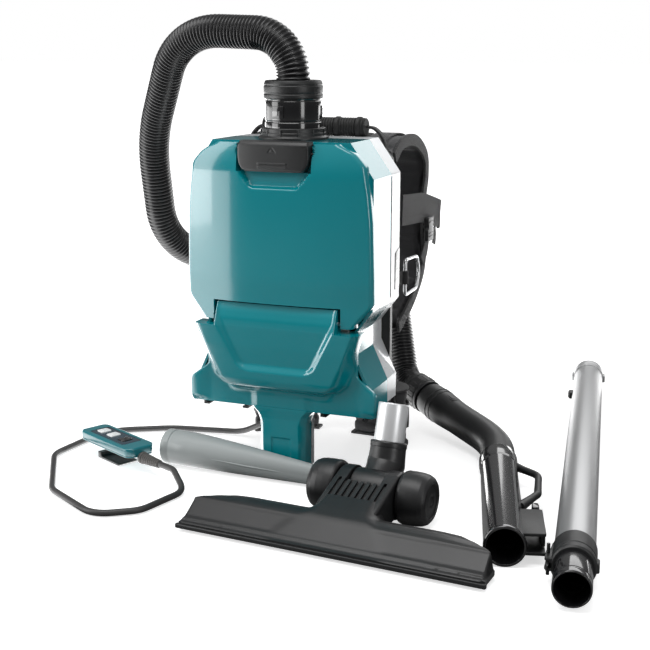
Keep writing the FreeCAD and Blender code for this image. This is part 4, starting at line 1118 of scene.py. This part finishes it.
def build_nozzle():
    shape = Shape(NOZZLE)
    sections = []
    positions = sorted({round(s * x, 2) for s in (1, -1)
                        for x in [i * 2.0 for i in range(80)] + [152, 154, 155.5, 157, 158.2, 159.2,
                                                                 159.8, 160]})
    for x in positions:
        ax = abs(x)
        back = 33.6 if ax < 98 else 33.6 - 0.675 * (ax - 98)
        tip = smoothstep(154, 160.2, ax)
        front = -37.8 + 2.0 * tip
        row = []
        count = 44
        for k in range(count + 1):
            y = front + (back - front) * k / count
            lean = smoothstep(back - 5, back, y)
            top = max(5.0, nozzle_top(x, y) * (1 - lean) + lean * 9.0)
            row.append((x, y, top))
        row += [(x, back, 5.2), (x, back - 1.0, 4.2), (x, front + 1.4, 4.2), (x, front, 5.0)]
        sections.append(row)
    shape.add(rings(sections))
    lip = pushed(oblong(-162, 162, -40.2, -35.4, 1.6, 0.8), 3.6, 8.2, 1.0, 3)
    shape.add(lip)
    thing = shape.build("nozzle_bar", "charcoal", "nozzle", 42)
    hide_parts("nozzle_body")

    hood = Shape(NOZZLE)
    outline = [(14, 7), (14, 33), (36, 40.6), (60, 48.4), (72, 52.0)]
    for k in range(15):
        angle = math.radians(98 - 15.2 * k)
        outline.append((80 + 24.6 * math.cos(angle), 28 + 24.6 * math.sin(angle)))
    outline.append((62, 8))
    profile = rounded([(y, z, 1.2) for y, z in outline], 1.2)
    hood.add(pushed(profile, -33, 33, 3.4, 5, "YZ"))
    thing = hood.build("nozzle_hood", "charcoal", "nozzle", 36)
    cutters = [moved_form(brick((-19, 55.5, -12), (19, 134, 70), 0.4, 2.5), NOZZLE)]
    for step in range(8):
        turn = Matrix.Translation((0, 26, 38)) @ Matrix.Rotation(math.radians(19.5), 4, "X")
        slot = brick((-1.7, -3, -5.0), (1.7, 33, 10), 0.2, 0.9)
        x = -24.6 + 7.03 * step
        cutters.append(moved_form(slot, NOZZLE @ Matrix.Translation((x, 0, 0)) @ turn))
    carve(thing, cutters)
    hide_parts("nozzle_body")
    # Near-black floors in the hood's slots: painted shade at the bottom of each slot.
    inside = Shape(NOZZLE)
    for step in range(8):
        x = -24.6 + 7.03 * step
        turn = Matrix.Translation((x, 26, 36.2)) @ Matrix.Rotation(math.radians(19.5), 4, "X")
        inside.add(brick((-1.5, 0.4, -3.4), (1.5, 30.6, -1.6), 0.2, 0.6), turn)
    thing = inside.build("nozzle_slot_painted_shade", "joint_and_shade_black", "nozzle")
    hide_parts("nozzle_body")

    axle = Shape(NOZZLE @ about((0, 80, 28), (1, 0, 0)))
    axle.add(lathe(soft_corner([(0.01, -64), (5, -64), (5, 64), (0.01, 64)], 0.5), 40))
    thing = axle.build("nozzle_axle", "black", "nozzle")
    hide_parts("nozzle_body")

    for name, low, outward in (("wheel_right", 34, 1), ("wheel_left", -66, -1)):
        wheel = Shape(NOZZLE @ about((50 * outward, 80, 28), (outward, 0, 0)))
        profile = [(5.06, -15.6), (24.6, -15.6), (26.4, -14.4), (27.3, -12.0), (27.4, -4.0),
                   (27.1, 3.0), (26.2, 8.4), (24.2, 12.6), (21.4, 15.0), (19.4, 15.7),
                   (18.4, 15.5), (17.7, 14.4), (16.4, 14.1), (9, 14.5), (5.06, 14.6)]
        wheel.add(lathe([tuple(p) for p in rounded([(u, v, 0.9) for u, v in profile], 0.5)], 96))
        thing = wheel.build(name + "_roller", "charcoal", name, 40)
        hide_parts("nozzle_" + name)

    build_neck()

    brush = Shape(NOZZLE)
    for k in range(138):
        x = -141 + k * 282 / 137.0
        lean = 0.9 * math.sin(k * 2.4)
        brush.add(brick((x - 0.8, 21.2 + lean * 0.3, 0.6), (x + 0.8, 26.8 + lean * 0.3, 4.6), 0.2,
                        0.5))
    brush.add(brick((-142, 20.2, 3.0), (142, 27.8, 4.4), 0.3))
    thing = brush.build("nozzle_bristles", "webbing", "nozzle")
    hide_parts("nozzle_brush")


def upward(degrees):
    """A heading in the nozzle's middle plane, tilted up from its back."""
    return Vector((0, math.cos(math.radians(degrees)), math.sin(math.radians(degrees))))


def build_neck():
    """The hub on the axle, its leaning arm with a domed elbow, and the standing pipe."""
    pivot = Vector((0, 80, 28))
    arm, rise = upward(25), upward(72)
    elbow = pivot + arm * 38
    neck = Shape(NOZZLE)
    neck.add(lathe(soft_corner([(5.06, -18), (22.9, -18), (22.9, 18), (5.06, 18)], 1.4), 72),
             about(pivot, (1, 0, 0)))
    bend = math.radians(72 - 25) / 8
    axis = Vector((1, 0, 0))
    sections = []
    for step, (reach, radius) in enumerate([(8, 17.6), (14, 17.9), (22, 18.2), (28, 18.8)]):
        sections.append((pivot + arm * reach, arm, radius))
    for step in range(9):
        way = Matrix.Rotation(bend * step, 3, axis) @ arm
        sections.append((elbow - (way * 0.5 - rise * 0.5) * 6, way, 20.0))
    for reach, radius in ((12, 19.2), (16, 19.0), (22, 18.8), (25, 18.4), (25.9, 17.6)):
        sections.append((elbow + rise * reach, rise, radius))
    loops = []
    for centre, way, radius in sections:
        up = axis.cross(way)
        loops.append([centre + (axis * math.cos(a) + up * math.sin(a)) * radius
                      for a in (math.tau * k / 72 for k in range(72))])
    neck.add(rings(loops))
    neck.add(lathe(soft_corner([(15.6, 20), (19.4, 20), (19.4, 24.6), (18.8, 25.9), (15.6, 25.9)],
                               0.5), 80), about(elbow, rise))
    thing = neck.build("neck_elbow", "charcoal", "nozzle_neck", 36)
    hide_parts("nozzle_neck")
    stub = Shape(NOZZLE @ about(elbow, rise))
    stub.add(lathe(soft_corner([(14.8, 2), (15.5, 2), (15.5, 26), (16.0, 26.4), (16.0, 64.6),
                                (15.6, 66), (14.8, 66)], 0.3), 80))
    thing = stub.build("stub_pipe", "bright", "nozzle_neck")
    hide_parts("nozzle_stub")


# ------------------------------------------------------------ wand

WAND = placed((366, -240, 21.5), 8.3)
ALONG_WAND = WAND @ about((0, 0, 0), (0, 1, 0))


def build_wand():
    spigot = Shape(ALONG_WAND)
    spigot.add(lathe(soft_corner([(15.8, 0), (16.9, 0), (17.5, 1.2), (17.5, 8), (17.1, 8.8),
                                  (17.1, 10.4), (17.5, 11.2), (17.5, 46), (17.0, 46.4), (17.0, 85),
                                  (15.8, 85)], 0.4), 80))
    thing = spigot.build("spigot_pipe", "black_gloss", "wand", 34)
    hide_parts("wand_spigot")

    collar = Shape(ALONG_WAND)
    collar.add(lathe(soft_corner([(17.0, 46), (19.2, 46), (20.7, 48), (20.7, 55), (19.9, 56),
                                  (19.9, 58), (20.5, 59), (20.5, 83), (19.6, 86), (17.0, 86)],
                                 0.5), 80))
    lug = Shape(WAND)
    for z in (-4.5, 4.5):
        outline = rounded([(-26, 49, 3), (-19, 46, 1), (-19, 74, 1), (-25, 67, 3)], 0.8)
        lug.add(pushed(outline, z - 1.5, z + 1.5, 0.5, 2))
    bridge = rounded([(-21.8, 68, 1), (-18, 66, 1), (-18, 84, 1), (-20.2, 84, 1)], 0.8)
    lug.add(pushed(bridge, -6.4, 6.4, 1.0, 3))
    rim = rounded([(18, 47, 1), (22.6, 48, 2), (22.6, 58, 2), (18, 64, 1)], 0.8)
    lug.add(pushed(rim, -5.0, 5.0, 1.2, 3))
    start = len(collar.verts)
    collar.verts.extend(lug.verts)
    collar.faces.extend(tuple(i + start for i in face) for face in lug.faces)
    thing = collar.build("collar_sleeve", "black", "wand", 36)
    pin = lathe([(0.01, -15), (1.6, -15), (1.6, 15), (0.01, 15)], 24)
    carve(thing, [moved_form(pin, WAND @ Matrix.Translation((-23, 60, 0)))])
    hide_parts("wand_collar")

    lever = Shape(WAND)
    lever.add(lathe(soft_corner([(0.01, -6), (1.5, -6), (1.5, 6), (0.01, 6)], 0.3), 24),
              Matrix.Translation((-23, 60, 0)))
    paddle = rounded([(-24.2, 38, 1.0), (-21.9, 38.4, 0.7), (-21.8, 63.6, 0.8), (-24.6, 63.6, 1.1),
                      (-25.0, 48, 2)], 0.6)
    lever.add(pushed(paddle, -2.7, 2.7, 0.6, 2))
    thing = lever.build("lever_paddle", "black", "wand_lever")
    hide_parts("wand_lever")

    pipe = Shape(ALONG_WAND)
    pipe.add(lathe(soft_corner([(17.8, 86.2), (18.6, 86.2), (19.0, 87.0), (19.0, 688.9),
                                (17.8, 688.9)], 0.3), 96))
    thing = pipe.build("pipe_brushed", "brushed", "wand", 34)
    hole = moved_form(pushed(oblong(-5, 5, 595, 613, 4.5, 0.6), -30, -14, 0.2, 1), WAND @ Matrix(
        ((0, 0, 1, 0), (0, 1, 0, 0), (1, 0, 0, 0), (0, 0, 0, 1))))
    carve(thing, [hole])
    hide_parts("wand_tube")
    end = Shape(ALONG_WAND)
    end.add(lathe(soft_corner([(17.6, 689), (19.6, 689), (20.2, 690), (20.2, 694), (19.5, 694.8),
                               (19.5, 696.4), (20.2, 697.2), (20.2, 712.6), (19.4, 715),
                               (17.6, 715)], 0.4), 80))
    for angle in (0, 180):
        nub = brick((19.4, -5, 690), (22.6, 5, 702), 0.9, 2.0)
        end.add(nub, Matrix.Rotation(math.radians(angle), 4, "Z"))
    thing = end.build("pipe_end_ring", "brushed", "wand", 36)
    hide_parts("wand_tube")

    press = Shape(WAND)
    outline = rounded([(-23.6, 596, 2.5), (-16.4, 596, 1), (-16.4, 612, 1), (-24.2, 612, 2.5)], 0.6)
    press.add(pushed(outline, -4.2, 4.2, 1.2, 3))
    for y in (600, 604, 608):
        press.add(brick((-24.6, y - 0.6, -3.0), (-23.4, y + 0.6, 3.0), 0.25, 0.5))
    thing = press.build("wand_press", "black", "wand_button")
    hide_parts("wand_button")


build_hose()
build_port()
build_grip()
build_handle()
build_nozzle()
build_wand()

# ------------------------------------------------------------ crevice tool, controller, cable

TOOL = placed((-138, -26, 20.5), -4.0)


def build_crevice_tool():
    shape = Shape(TOOL)
    sections = []
    stations = [(0.0, 18.9, 18.9), (0.6, 19.6, 19.6), (1.6, 20.0, 20.0), (9, 20.0, 20.0),
                (9.8, 19.5, 19.5), (11.2, 19.5, 19.5), (12, 20.0, 20.0), (33, 20.0, 20.0)]
    wide = Curve([(33, 20.0), (60, 18.4), (92, 16.0), (140, 11.6), (200, 6.6)], 12)
    tall = Curve([(33, 20.0), (60, 19.0), (92, 17.4), (150, 14.0), (200, 11.0)], 12)
    stations += [(x, wide(x), tall(x)) for x in (35 + i * 2.5 for i in range(66))]
    stations += [(199.4, 6.4, 10.8), (200, 5.9, 10.3)]

    def oval(x, w, t, shift=0.0):
        drop = -(20.0 - t) * 0.8 if t < 20 else 0.0
        if x < 2:
            drop = 0.0
        return [(x, w * math.cos(a) * (1 + shift * abs(math.sin(2 * a))),
                 drop + t * math.sin(a)) for a in (2 * math.pi * k / 64 for k in range(64))]
    outside = [oval(*s, 0.06 * smoothstep(60, 150, s[0])) for s in stations]
    inside = [oval(200, 3.8, 8.2), oval(150, 8.6, 11.6), oval(92, 13.4, 14.8), oval(60, 16, 16.6),
              oval(34, 17, 17), oval(32, 17.6, 17.6), oval(2.2, 17.6, 17.6)]
    inside = [[(x if x < 200 else 200, y, z) for x, y, z in ring] for ring in inside]
    inside.append([(0, y, z) for x, y, z in inside[-1]])
    shape.add(rings(outside + inside, closed=True))
    for side in (1, -1):
        ridge = Path((58, side * 18.3, -0.6), [(110, side * 14.7, -3.8, 900)],
                     (158, side * 10.2, -5.8))
        shape.add(tube(ridge, [(d, 0.9 * math.sin(math.pi * min(1, max(0.02, d / ridge.length))))
                               for d in (i * 2.0 for i in range(int(ridge.length / 2) + 1))], 12))
    thing = shape.build("tool_body", "grey", "tool", 40)
    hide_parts("crevice_tool")


BOX = placed((-198, -40, 0), -26.0)


def build_controller():
    shape = Shape(BOX)
    outline = rounded([(-52, -15, 6), (-46, -19, 6), (46, -19, 6), (52, -13, 7), (52, 13, 7),
                       (46, 19, 6), (-46, 19, 6), (-52, 15, 6)], 1.2)
    shape.add(pushed(outline, 8, 18.4, 1.6, 4))
    shape.add(pushed(shrink(outline, 0.7), 17.8, 19.4, 0.2, 2))
    shape.add(pushed(outline, 18.9, 29, 2.6, 5))
    for x in (-43, 41):
        shape.add(brick((x - 2.4, -14, 28.2), (x + 2.4, 14, 29.5), 0.5, 1.4))
    thing = shape.build("controller_shell", "teal_deep", "unit", 36)
    cutters = [moved_form(brick((-38.4, -13.4, 27.3), (32.4, 13.4, 40), 0.3, 3.0), BOX)]
    for x in (-27, -7, 17):
        cutters.append(moved_form(brick((x - 6.2, -7.2, 24), (x + 6.2, 7.2, 40), 0.2, 1.6), BOX))
    carve(thing, cutters)
    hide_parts("controller_case")

    panel = Shape(BOX)
    panel.add(pushed(oblong(-37.8, 31.8, -12.8, 12.8, 2.8), 27.4, 29.0, 0.35, 2))
    panel.add(pushed(oblong(4.0, 8.4, -9.5, 9.5, 1.2), 28.6, 29.4, 0.25, 2))
    thing = panel.build("panel_film", "panel_blue", "unit")
    carve(thing, [moved_form(brick((x - 6.25, -7.25, 24), (x + 6.25, 7.25, 40), 0.2, 1.6), BOX)
                  for x in (-27, -7, 17)])
    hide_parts("controller_panel")
    keys = (("on", "key", -27), ("speed", "key", -7), ("light", "black_gloss", 17))
    for name, finish, x in keys:
        key = Shape(BOX)
        key.add(pushed(oblong(x - 5.9, x + 5.9, -6.9, 6.9, 2.2), 25.7, 30.1, 0.9, 4))
        key.add(lathe(soft_corner([(1.5, 29.8), (2.3, 29.8), (2.3, 30.5), (1.5, 30.5)], 0.15), 32),
                Matrix.Translation((x, 0, 0)))
        thing = key.build("key_" + name, finish, "button_" + name)
        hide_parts("button_" + name)

    clip = Shape(BOX)
    profile = rounded([(-22, 0.6, 1), (20, 0.6, 1), (22, 2.2, 1), (20, 3.1, 1), (-14, 3.1, 1),
                       (-16, 5, 1.5), (-16, 8, 0), (-22, 8, 0)], 0.6)
    clip.add(pushed([Vector((p.x, p.y)) for p in profile], -13, 13, 0.6, 2, "XZ"))
    thing = clip.build("clip_spring", "black", "unit")
    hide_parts("belt_clip")

    nose = BOX @ Vector((54, 0, 16))
    path = Path(nose, [(-100, -85, 16, 20), (-72, -112, 4.2, 24), (-88, -178, 4.2, 26),
                       (-128, -206, 4.2, 30), (-208, -160, 4.2, 40), (-272, -60, 4.2, 40),
                       (-262, 40, 4.2, 60), (-190, 80, 4.2, 60), (-100, 92, 6, 40),
                       (-36, 74, 40, 14)], (-36, 74, 78))
    cable = Shape()
    stations = [(d, 3.5) for d in (26 + i * 3.0 for i in range(int((path.length - 27) / 3)))]
    cable.add(tube(path, stations + [(path.length, 3.5)], 20))
    thing = cable.build("cable_jacket", "cable", "unit", 60)
    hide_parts("power_cable")
    relief = Shape()
    rib_stations = [(0, 6.6), (1.5, 6.6)]
    at, radius = 2.0, 6.4
    while at < 27:
        rib_stations += [(at, radius - 1.4), (at + 0.7, radius - 1.4), (at + 1.0, radius),
                         (at + 2.4, radius), (at + 2.7, radius - 1.4)]
        at += 3.1
        radius -= 0.22
    relief.add(tube(path, rib_stations, 28))
    relief.add(lathe(soft_corner([(0.01, -3.0), (7.0, -3.0), (7.0, 1.5), (0.01, 1.5)], 0.6), 40),
               about(nose, path.heading(2)))
    thing = relief.build("cable_relief", "strain", "unit", 50)
    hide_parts("power_cable")


# ------------------------------------------------------------ harness hardware

def smooth_path(points, per=10):
    """Catmull-Rom through points, as a list of vectors."""
    spots = [Vector(p) for p in points]
    ends = [spots[0] * 2 - spots[1]] + spots + [spots[-1] * 2 - spots[-2]]
    result = []
    for i in range(1, len(ends) - 2):
        a, b, c, d = ends[i - 1:i + 3]
        for k in range(per):
            t = k / per
            result.append(0.5 * ((2 * b) + (c - a) * t + (2 * a - 5 * b + 4 * c - d) * t * t
                                 + (3 * b - a - 3 * c + d) * t ** 3))
    result.append(spots[-1])
    return result


def strap(spots, across, width, thick, wave=0.0):
    """A flat webbing band along spots; across is the direction of its width."""
    across = Vector(across).normalized()
    sections = []
    for i, spot in enumerate(spots):
        ahead = (spots[min(i + 1, len(spots) - 1)] - spots[max(i - 1, 0)]).normalized()
        side = (across - ahead * across.dot(ahead)).normalized()
        up = ahead.cross(side)
        section = []
        rim = [(-0.5, 0.0), (-0.485, 0.42), (-0.44, 0.5), (-0.3, 0.5), (-0.28, 0.42), (-0.24, 0.42),
               (-0.22, 0.5), (0, 0.5), (0.22, 0.5), (0.24, 0.42), (0.28, 0.42), (0.3, 0.5),
               (0.44, 0.5), (0.485, 0.42), (0.5, 0.0)]
        rim += [(-u, -v) for u, v in rim[1:-1]]
        for u, v in rim:
            bow = wave * math.sin(i * 0.35) * (1 - (2 * u) ** 2)
            section.append(spot + side * (u * width) + up * (v * thick + bow))
        sections.append(section)
    return rings(sections)


def build_hardware():
    webs = Shape()
    for side in (1, -1):
        x = side * 93.75
        upper = smooth_path([(x, 122, 287), (x, 160, 284), (x, 200, 281), (x, 240, 273),
                             (x, 279, 264)], 8)
        webs.add(strap(upper, (0, 0, 1), 36, 2.2, 0.15))
        fold = brick((x - 1.2, 270, 246), (x + 1.2, 279.6, 281), 0.5, 1.0)
        webs.add(fold)
        tail = [Vector((x + side * 0.6, 252 + 3 * math.sin(i * 0.4), 250 - i * 3.0)) for i in range(8)]
        webs.add(strap(tail, (0, 1, 0), 12, 1.6))
        loop = smooth_path([(x, 214, 262), (x, 224, 246), (x, 219, 228), (x, 206, 214)], 6)
        webs.add(strap(loop, (0, 1, 0.2), 18, 1.8, 0.1))
    thing = webs.build("chest_webbing", "webbing", "unit", 45)
    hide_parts("chest_straps")
    buckles = Shape()
    for side in (1, -1):
        low, high = (95.1, 100.9) if side > 0 else (-100.9, -95.1)
        outline = [(y, z, r) for y, z, r in ((207, 238, 3), (229, 238, 3), (230, 252, 2),
                                             (227, 256, 2), (230, 268, 3), (206, 268, 3),
                                             (209, 256, 2), (206, 252, 2))]
        buckles.add(pushed(rounded(outline, 0.8), low, high, 1.0, 3, "YZ"))
        face = high if side > 0 else low
        for z in (244, 248, 262):
            buckles.add(brick((face - 0.5, 210, z - 0.9), (face + 0.5, 226, z + 0.9), 0.3, 0.6))
    thing = buckles.build("buckle_bodies", "black", "unit")
    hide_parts("chest_buckles")

    ring_path = Path((97.3, 127, 208), [(97.3, 127, 229, 5), (97.3, 171, 227, 8),
                                        (97.3, 181, 208, 14), (97.3, 171, 188, 8),
                                        (97.3, 127, 187, 5)], (97.3, 127, 207.9))
    ring = Shape()
    count = int(ring_path.length / 1.6)
    ring.add(tube(ring_path, [(d * ring_path.length / count, 2.0) for d in range(count + 1)], 20))
    thing = ring.build("ring_wire", "silver", "ring", 60)
    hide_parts("d_ring")
    tab = Shape()
    tab.add(strap([Vector((94.2, y, 208)) for y in (88.4, 96, 104, 112, 119, 123.5)], (0, 0, 1),
                  15.6, 2.0))
    tab.add(lathe(soft_corner([(2.1, -7.8), (3.9, -7.8), (3.9, 7.8), (2.1, 7.8)], 0.4), 32),
            Matrix.Translation((97.3, 127, 208)))
    for z in (203, 208, 213):
        tab.add(brick((95.0, 98, z - 0.5), (95.6, 116, z + 0.5), 0.15, 0.3))
    thing = tab.build("tab_webbing", "webbing", "unit", 45)
    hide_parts("ring_tab")

    carry = Shape()
    for side in (1, -1):
        spots = smooth_path([(side * x, 93.2, z) for x, z in ((62.8, 383), (70, 381.5),
                                                             (77.5, 375), (82, 367), (84, 358))], 6)
        carry.add(strap(spots, (0, 1, 0), 9.8, 2.8))
    thing = carry.build("carry_webbing", "webbing", "unit", 45)
    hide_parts("carry_strap")


def build_label():
    """The rating label, left blank, on the white shell's right side."""
    label = Shape()
    outline = rounded([(64.5, 205, 1.5), (79.5, 209, 1.5), (79.5, 252, 1.5), (64.5, 247, 1.5)], 0.6)
    verts, faces = pushed(outline, 104.9, 105.5, 0.2, 2, "YZ")
    label.add((verts, faces))
    for k in range(3):
        z = 214 + 11 * k
        bar = rounded([(67, z, 0.4), (77, z + 2.6, 0.4), (77, z + 5.2, 0.4), (67, z + 2.6, 0.4)], 0.4)
        label.add(pushed(bar, 105.3, 105.62, 0.1, 1, "YZ"))
    label.build("side_label", "label", "unit")
    seam = Shape()
    for side in (1, -1):
        for z0, z1 in ((200, 334),):
            seam.add(brick((side * 106 - 0.5, 46.3, z0), (side * 106 + 0.5, 47.1, z1), 0.15, 0.3))
    seam.build("shell_seam", "joint_and_shade_black", "unit")


# ------------------------------------------------------------ padded parts

def outward(mesh, amount):
    """Move a mesh's vertices along their normals."""
    for vertex in mesh.vertices:
        vertex.co += vertex.normal * amount


def padded(node, finish, shrinkage=2.4, voxel=5.0, pressure=4.0, cap=7.0, seams=None, name=None):
    """A cloth-filled pad grown from a CAD solid, then stitched by seams(point)."""
    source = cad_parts[node]
    mesh = source.data.copy()
    thing = bpy.data.objects.new(name or node + "_padded", mesh)
    bpy.context.scene.collection.objects.link(thing)
    thing.modifiers.clear()
    remesh = thing.modifiers.new("remesh", "REMESH")
    remesh.mode = "VOXEL"
    remesh.voxel_size = voxel * MM
    settle(thing)
    outward(thing.data, -shrinkage * MM)
    starts = [v.co.copy() for v in thing.data.vertices]
    cloth = thing.modifiers.new("cloth", "CLOTH")
    cloth.settings.quality = 5
    cloth.settings.mass = 0.3
    cloth.settings.use_pressure = True
    cloth.settings.uniform_pressure_force = pressure
    cloth.settings.effector_weights.gravity = 0
    cloth.point_cache.frame_start = 1
    cloth.point_cache.frame_end = 20
    for step in range(1, 21):
        bpy.context.scene.frame_set(step)
    settle(thing)
    bpy.context.scene.frame_set(1)
    if len(thing.data.vertices) == len(starts):
        for vertex, start in zip(thing.data.vertices, starts):
            move = vertex.co - start
            if move.length > cap * MM:
                vertex.co = start + move * (cap * MM / move.length)
    refine = thing.modifiers.new("refine", "SUBSURF")
    refine.levels = 1
    settle(thing)
    box_low, box_high = corners(node)
    for vertex in thing.data.vertices:
        point = vertex.co / MM
        if seams:
            point = seams(point, vertex.normal)
        grown = 0.5
        for axis in range(3):
            point[axis] = max(box_low[axis] - grown, min(box_high[axis] + grown, point[axis]))
        vertex.co = point * MM
    thing.data.materials.clear()
    thing.data.materials.append(FINISHES[finish])
    thing.data.shade_smooth()
    thing.data.set_sharp_from_angle(angle=math.radians(70))
    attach(thing, "unit")
    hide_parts(node)
    return thing


def channel(value, spacing, phase=0.0, width=2.2):
    """Closeness to the nearest sewn channel along one coordinate."""
    near = abs((value - phase + spacing / 2) % spacing - spacing / 2)
    return math.exp(-(near / width) ** 2)


def back_seams(point, normal):
    if normal.y > 0.25:
        sewn = max(channel(point.z, 38, 245), 0.8 * math.exp(-(point.x / 2.4) ** 2)
                   * (1 if abs(point.z - 245) < 80 else 0))
        point = point - normal * 4.0 * sewn
    return point


def hip_seams(point, normal):
    if normal.y > 0.25:
        sewn = max(channel(point.x, 45, 0), 0.0)
        point = point - normal * 4.0 * sewn
    return point


def belt_seams(point, normal):
    sewn = channel(point.z, 18, 18)
    return point - normal * 2.2 * sewn


def strap_seams(point, normal):
    middle = 65.25 if point.x > 0 else -65.25
    sewn = max(math.exp(-((abs(point.x - middle) - 20.5) / 1.5) ** 2),
               0.5 * channel(point.z, 26, 10, 1.6))
    return point - normal * 1.7 * sewn


def band_path():
    points = [(100, 349), (130, 364), (178, 363), (218, 343), (224, 318), (216, 292), (214, 255),
              (220, 226), (212, 200), (182, 176), (146, 158), (121, 148)]
    return smooth_path([(0, y, z) for y, z in points], 10)


def build_pads():
    padded("back_pad", "pad", seams=back_seams)
    padded("hip_pad", "pad", seams=hip_seams)
    padded("hip_belts", "pad", shrinkage=2.0, cap=5.0, seams=belt_seams)
    padded("shoulder_straps", "pad", shrinkage=1.8, cap=4.0, seams=strap_seams)
    trims = Shape()
    spine = band_path()
    for side in (1, -1):
        for x in (39.2, 91.4):
            edge = [Vector((side * x, p.y, p.z)) for p in spine]
            trims.add(strap(edge, (1, 0, 0), 3.2, 13.6))
        middle = [Vector((side * 65.2, p.y, p.z)) for p in spine[4:]]
        outer = []
        for i, spot in enumerate(middle):
            ahead = (middle[min(i + 1, len(middle) - 1)] - middle[max(i - 1, 0)]).normalized()
            outer.append(spot - ahead.cross(Vector((1, 0, 0))).normalized() * 6.7)
        trims.add(strap(outer, (1, 0, 0), 25, 1.8))
    thing = trims.build("strap_trim", "webbing", "unit", 45)
    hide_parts("shoulder_straps")
    belts = Shape()
    for side in (1, -1):
        for z in (1.8, 70.4):
            edge = smooth_path([(side * x, y, z) for x, y in ((86, 119), (94, 134), (84, 150),
                                                             (56, 158), (22, 160))], 10)
            belts.add(strap(edge, (0, 0, 1), 3.0, 15.0))
        front = smooth_path([(side * x, y, 38) for x, y in ((95.8, 124), (101.4, 135), (90, 155),
                                                           (60, 165.4), (24, 167.4))], 10)
        belts.add(strap(front, (0, 0, 1), 30, 1.8))
    thing = belts.build("belt_trim", "webbing", "unit", 45)
    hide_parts("hip_belts")


def build_bag_and_foam():
    padded("exhaust_foam", "foam", shrinkage=1.2, voxel=5.0, cap=2.0)
    bag = padded("dust_bag", "paper", shrinkage=2.0, voxel=4.0, cap=6.0, seams=bag_seams)
    return bag


def bag_seams(point, normal):
    if point.z < 338:
        crease = math.exp(-(point.x / 2.0) ** 2) * 1.2 + 0.8 * math.sin(point.z * 0.11) * 0.5
        point = point - normal * crease
    return point


build_crevice_tool()
build_controller()
build_hardware()
build_label()
build_pads()
build_bag_and_foam()
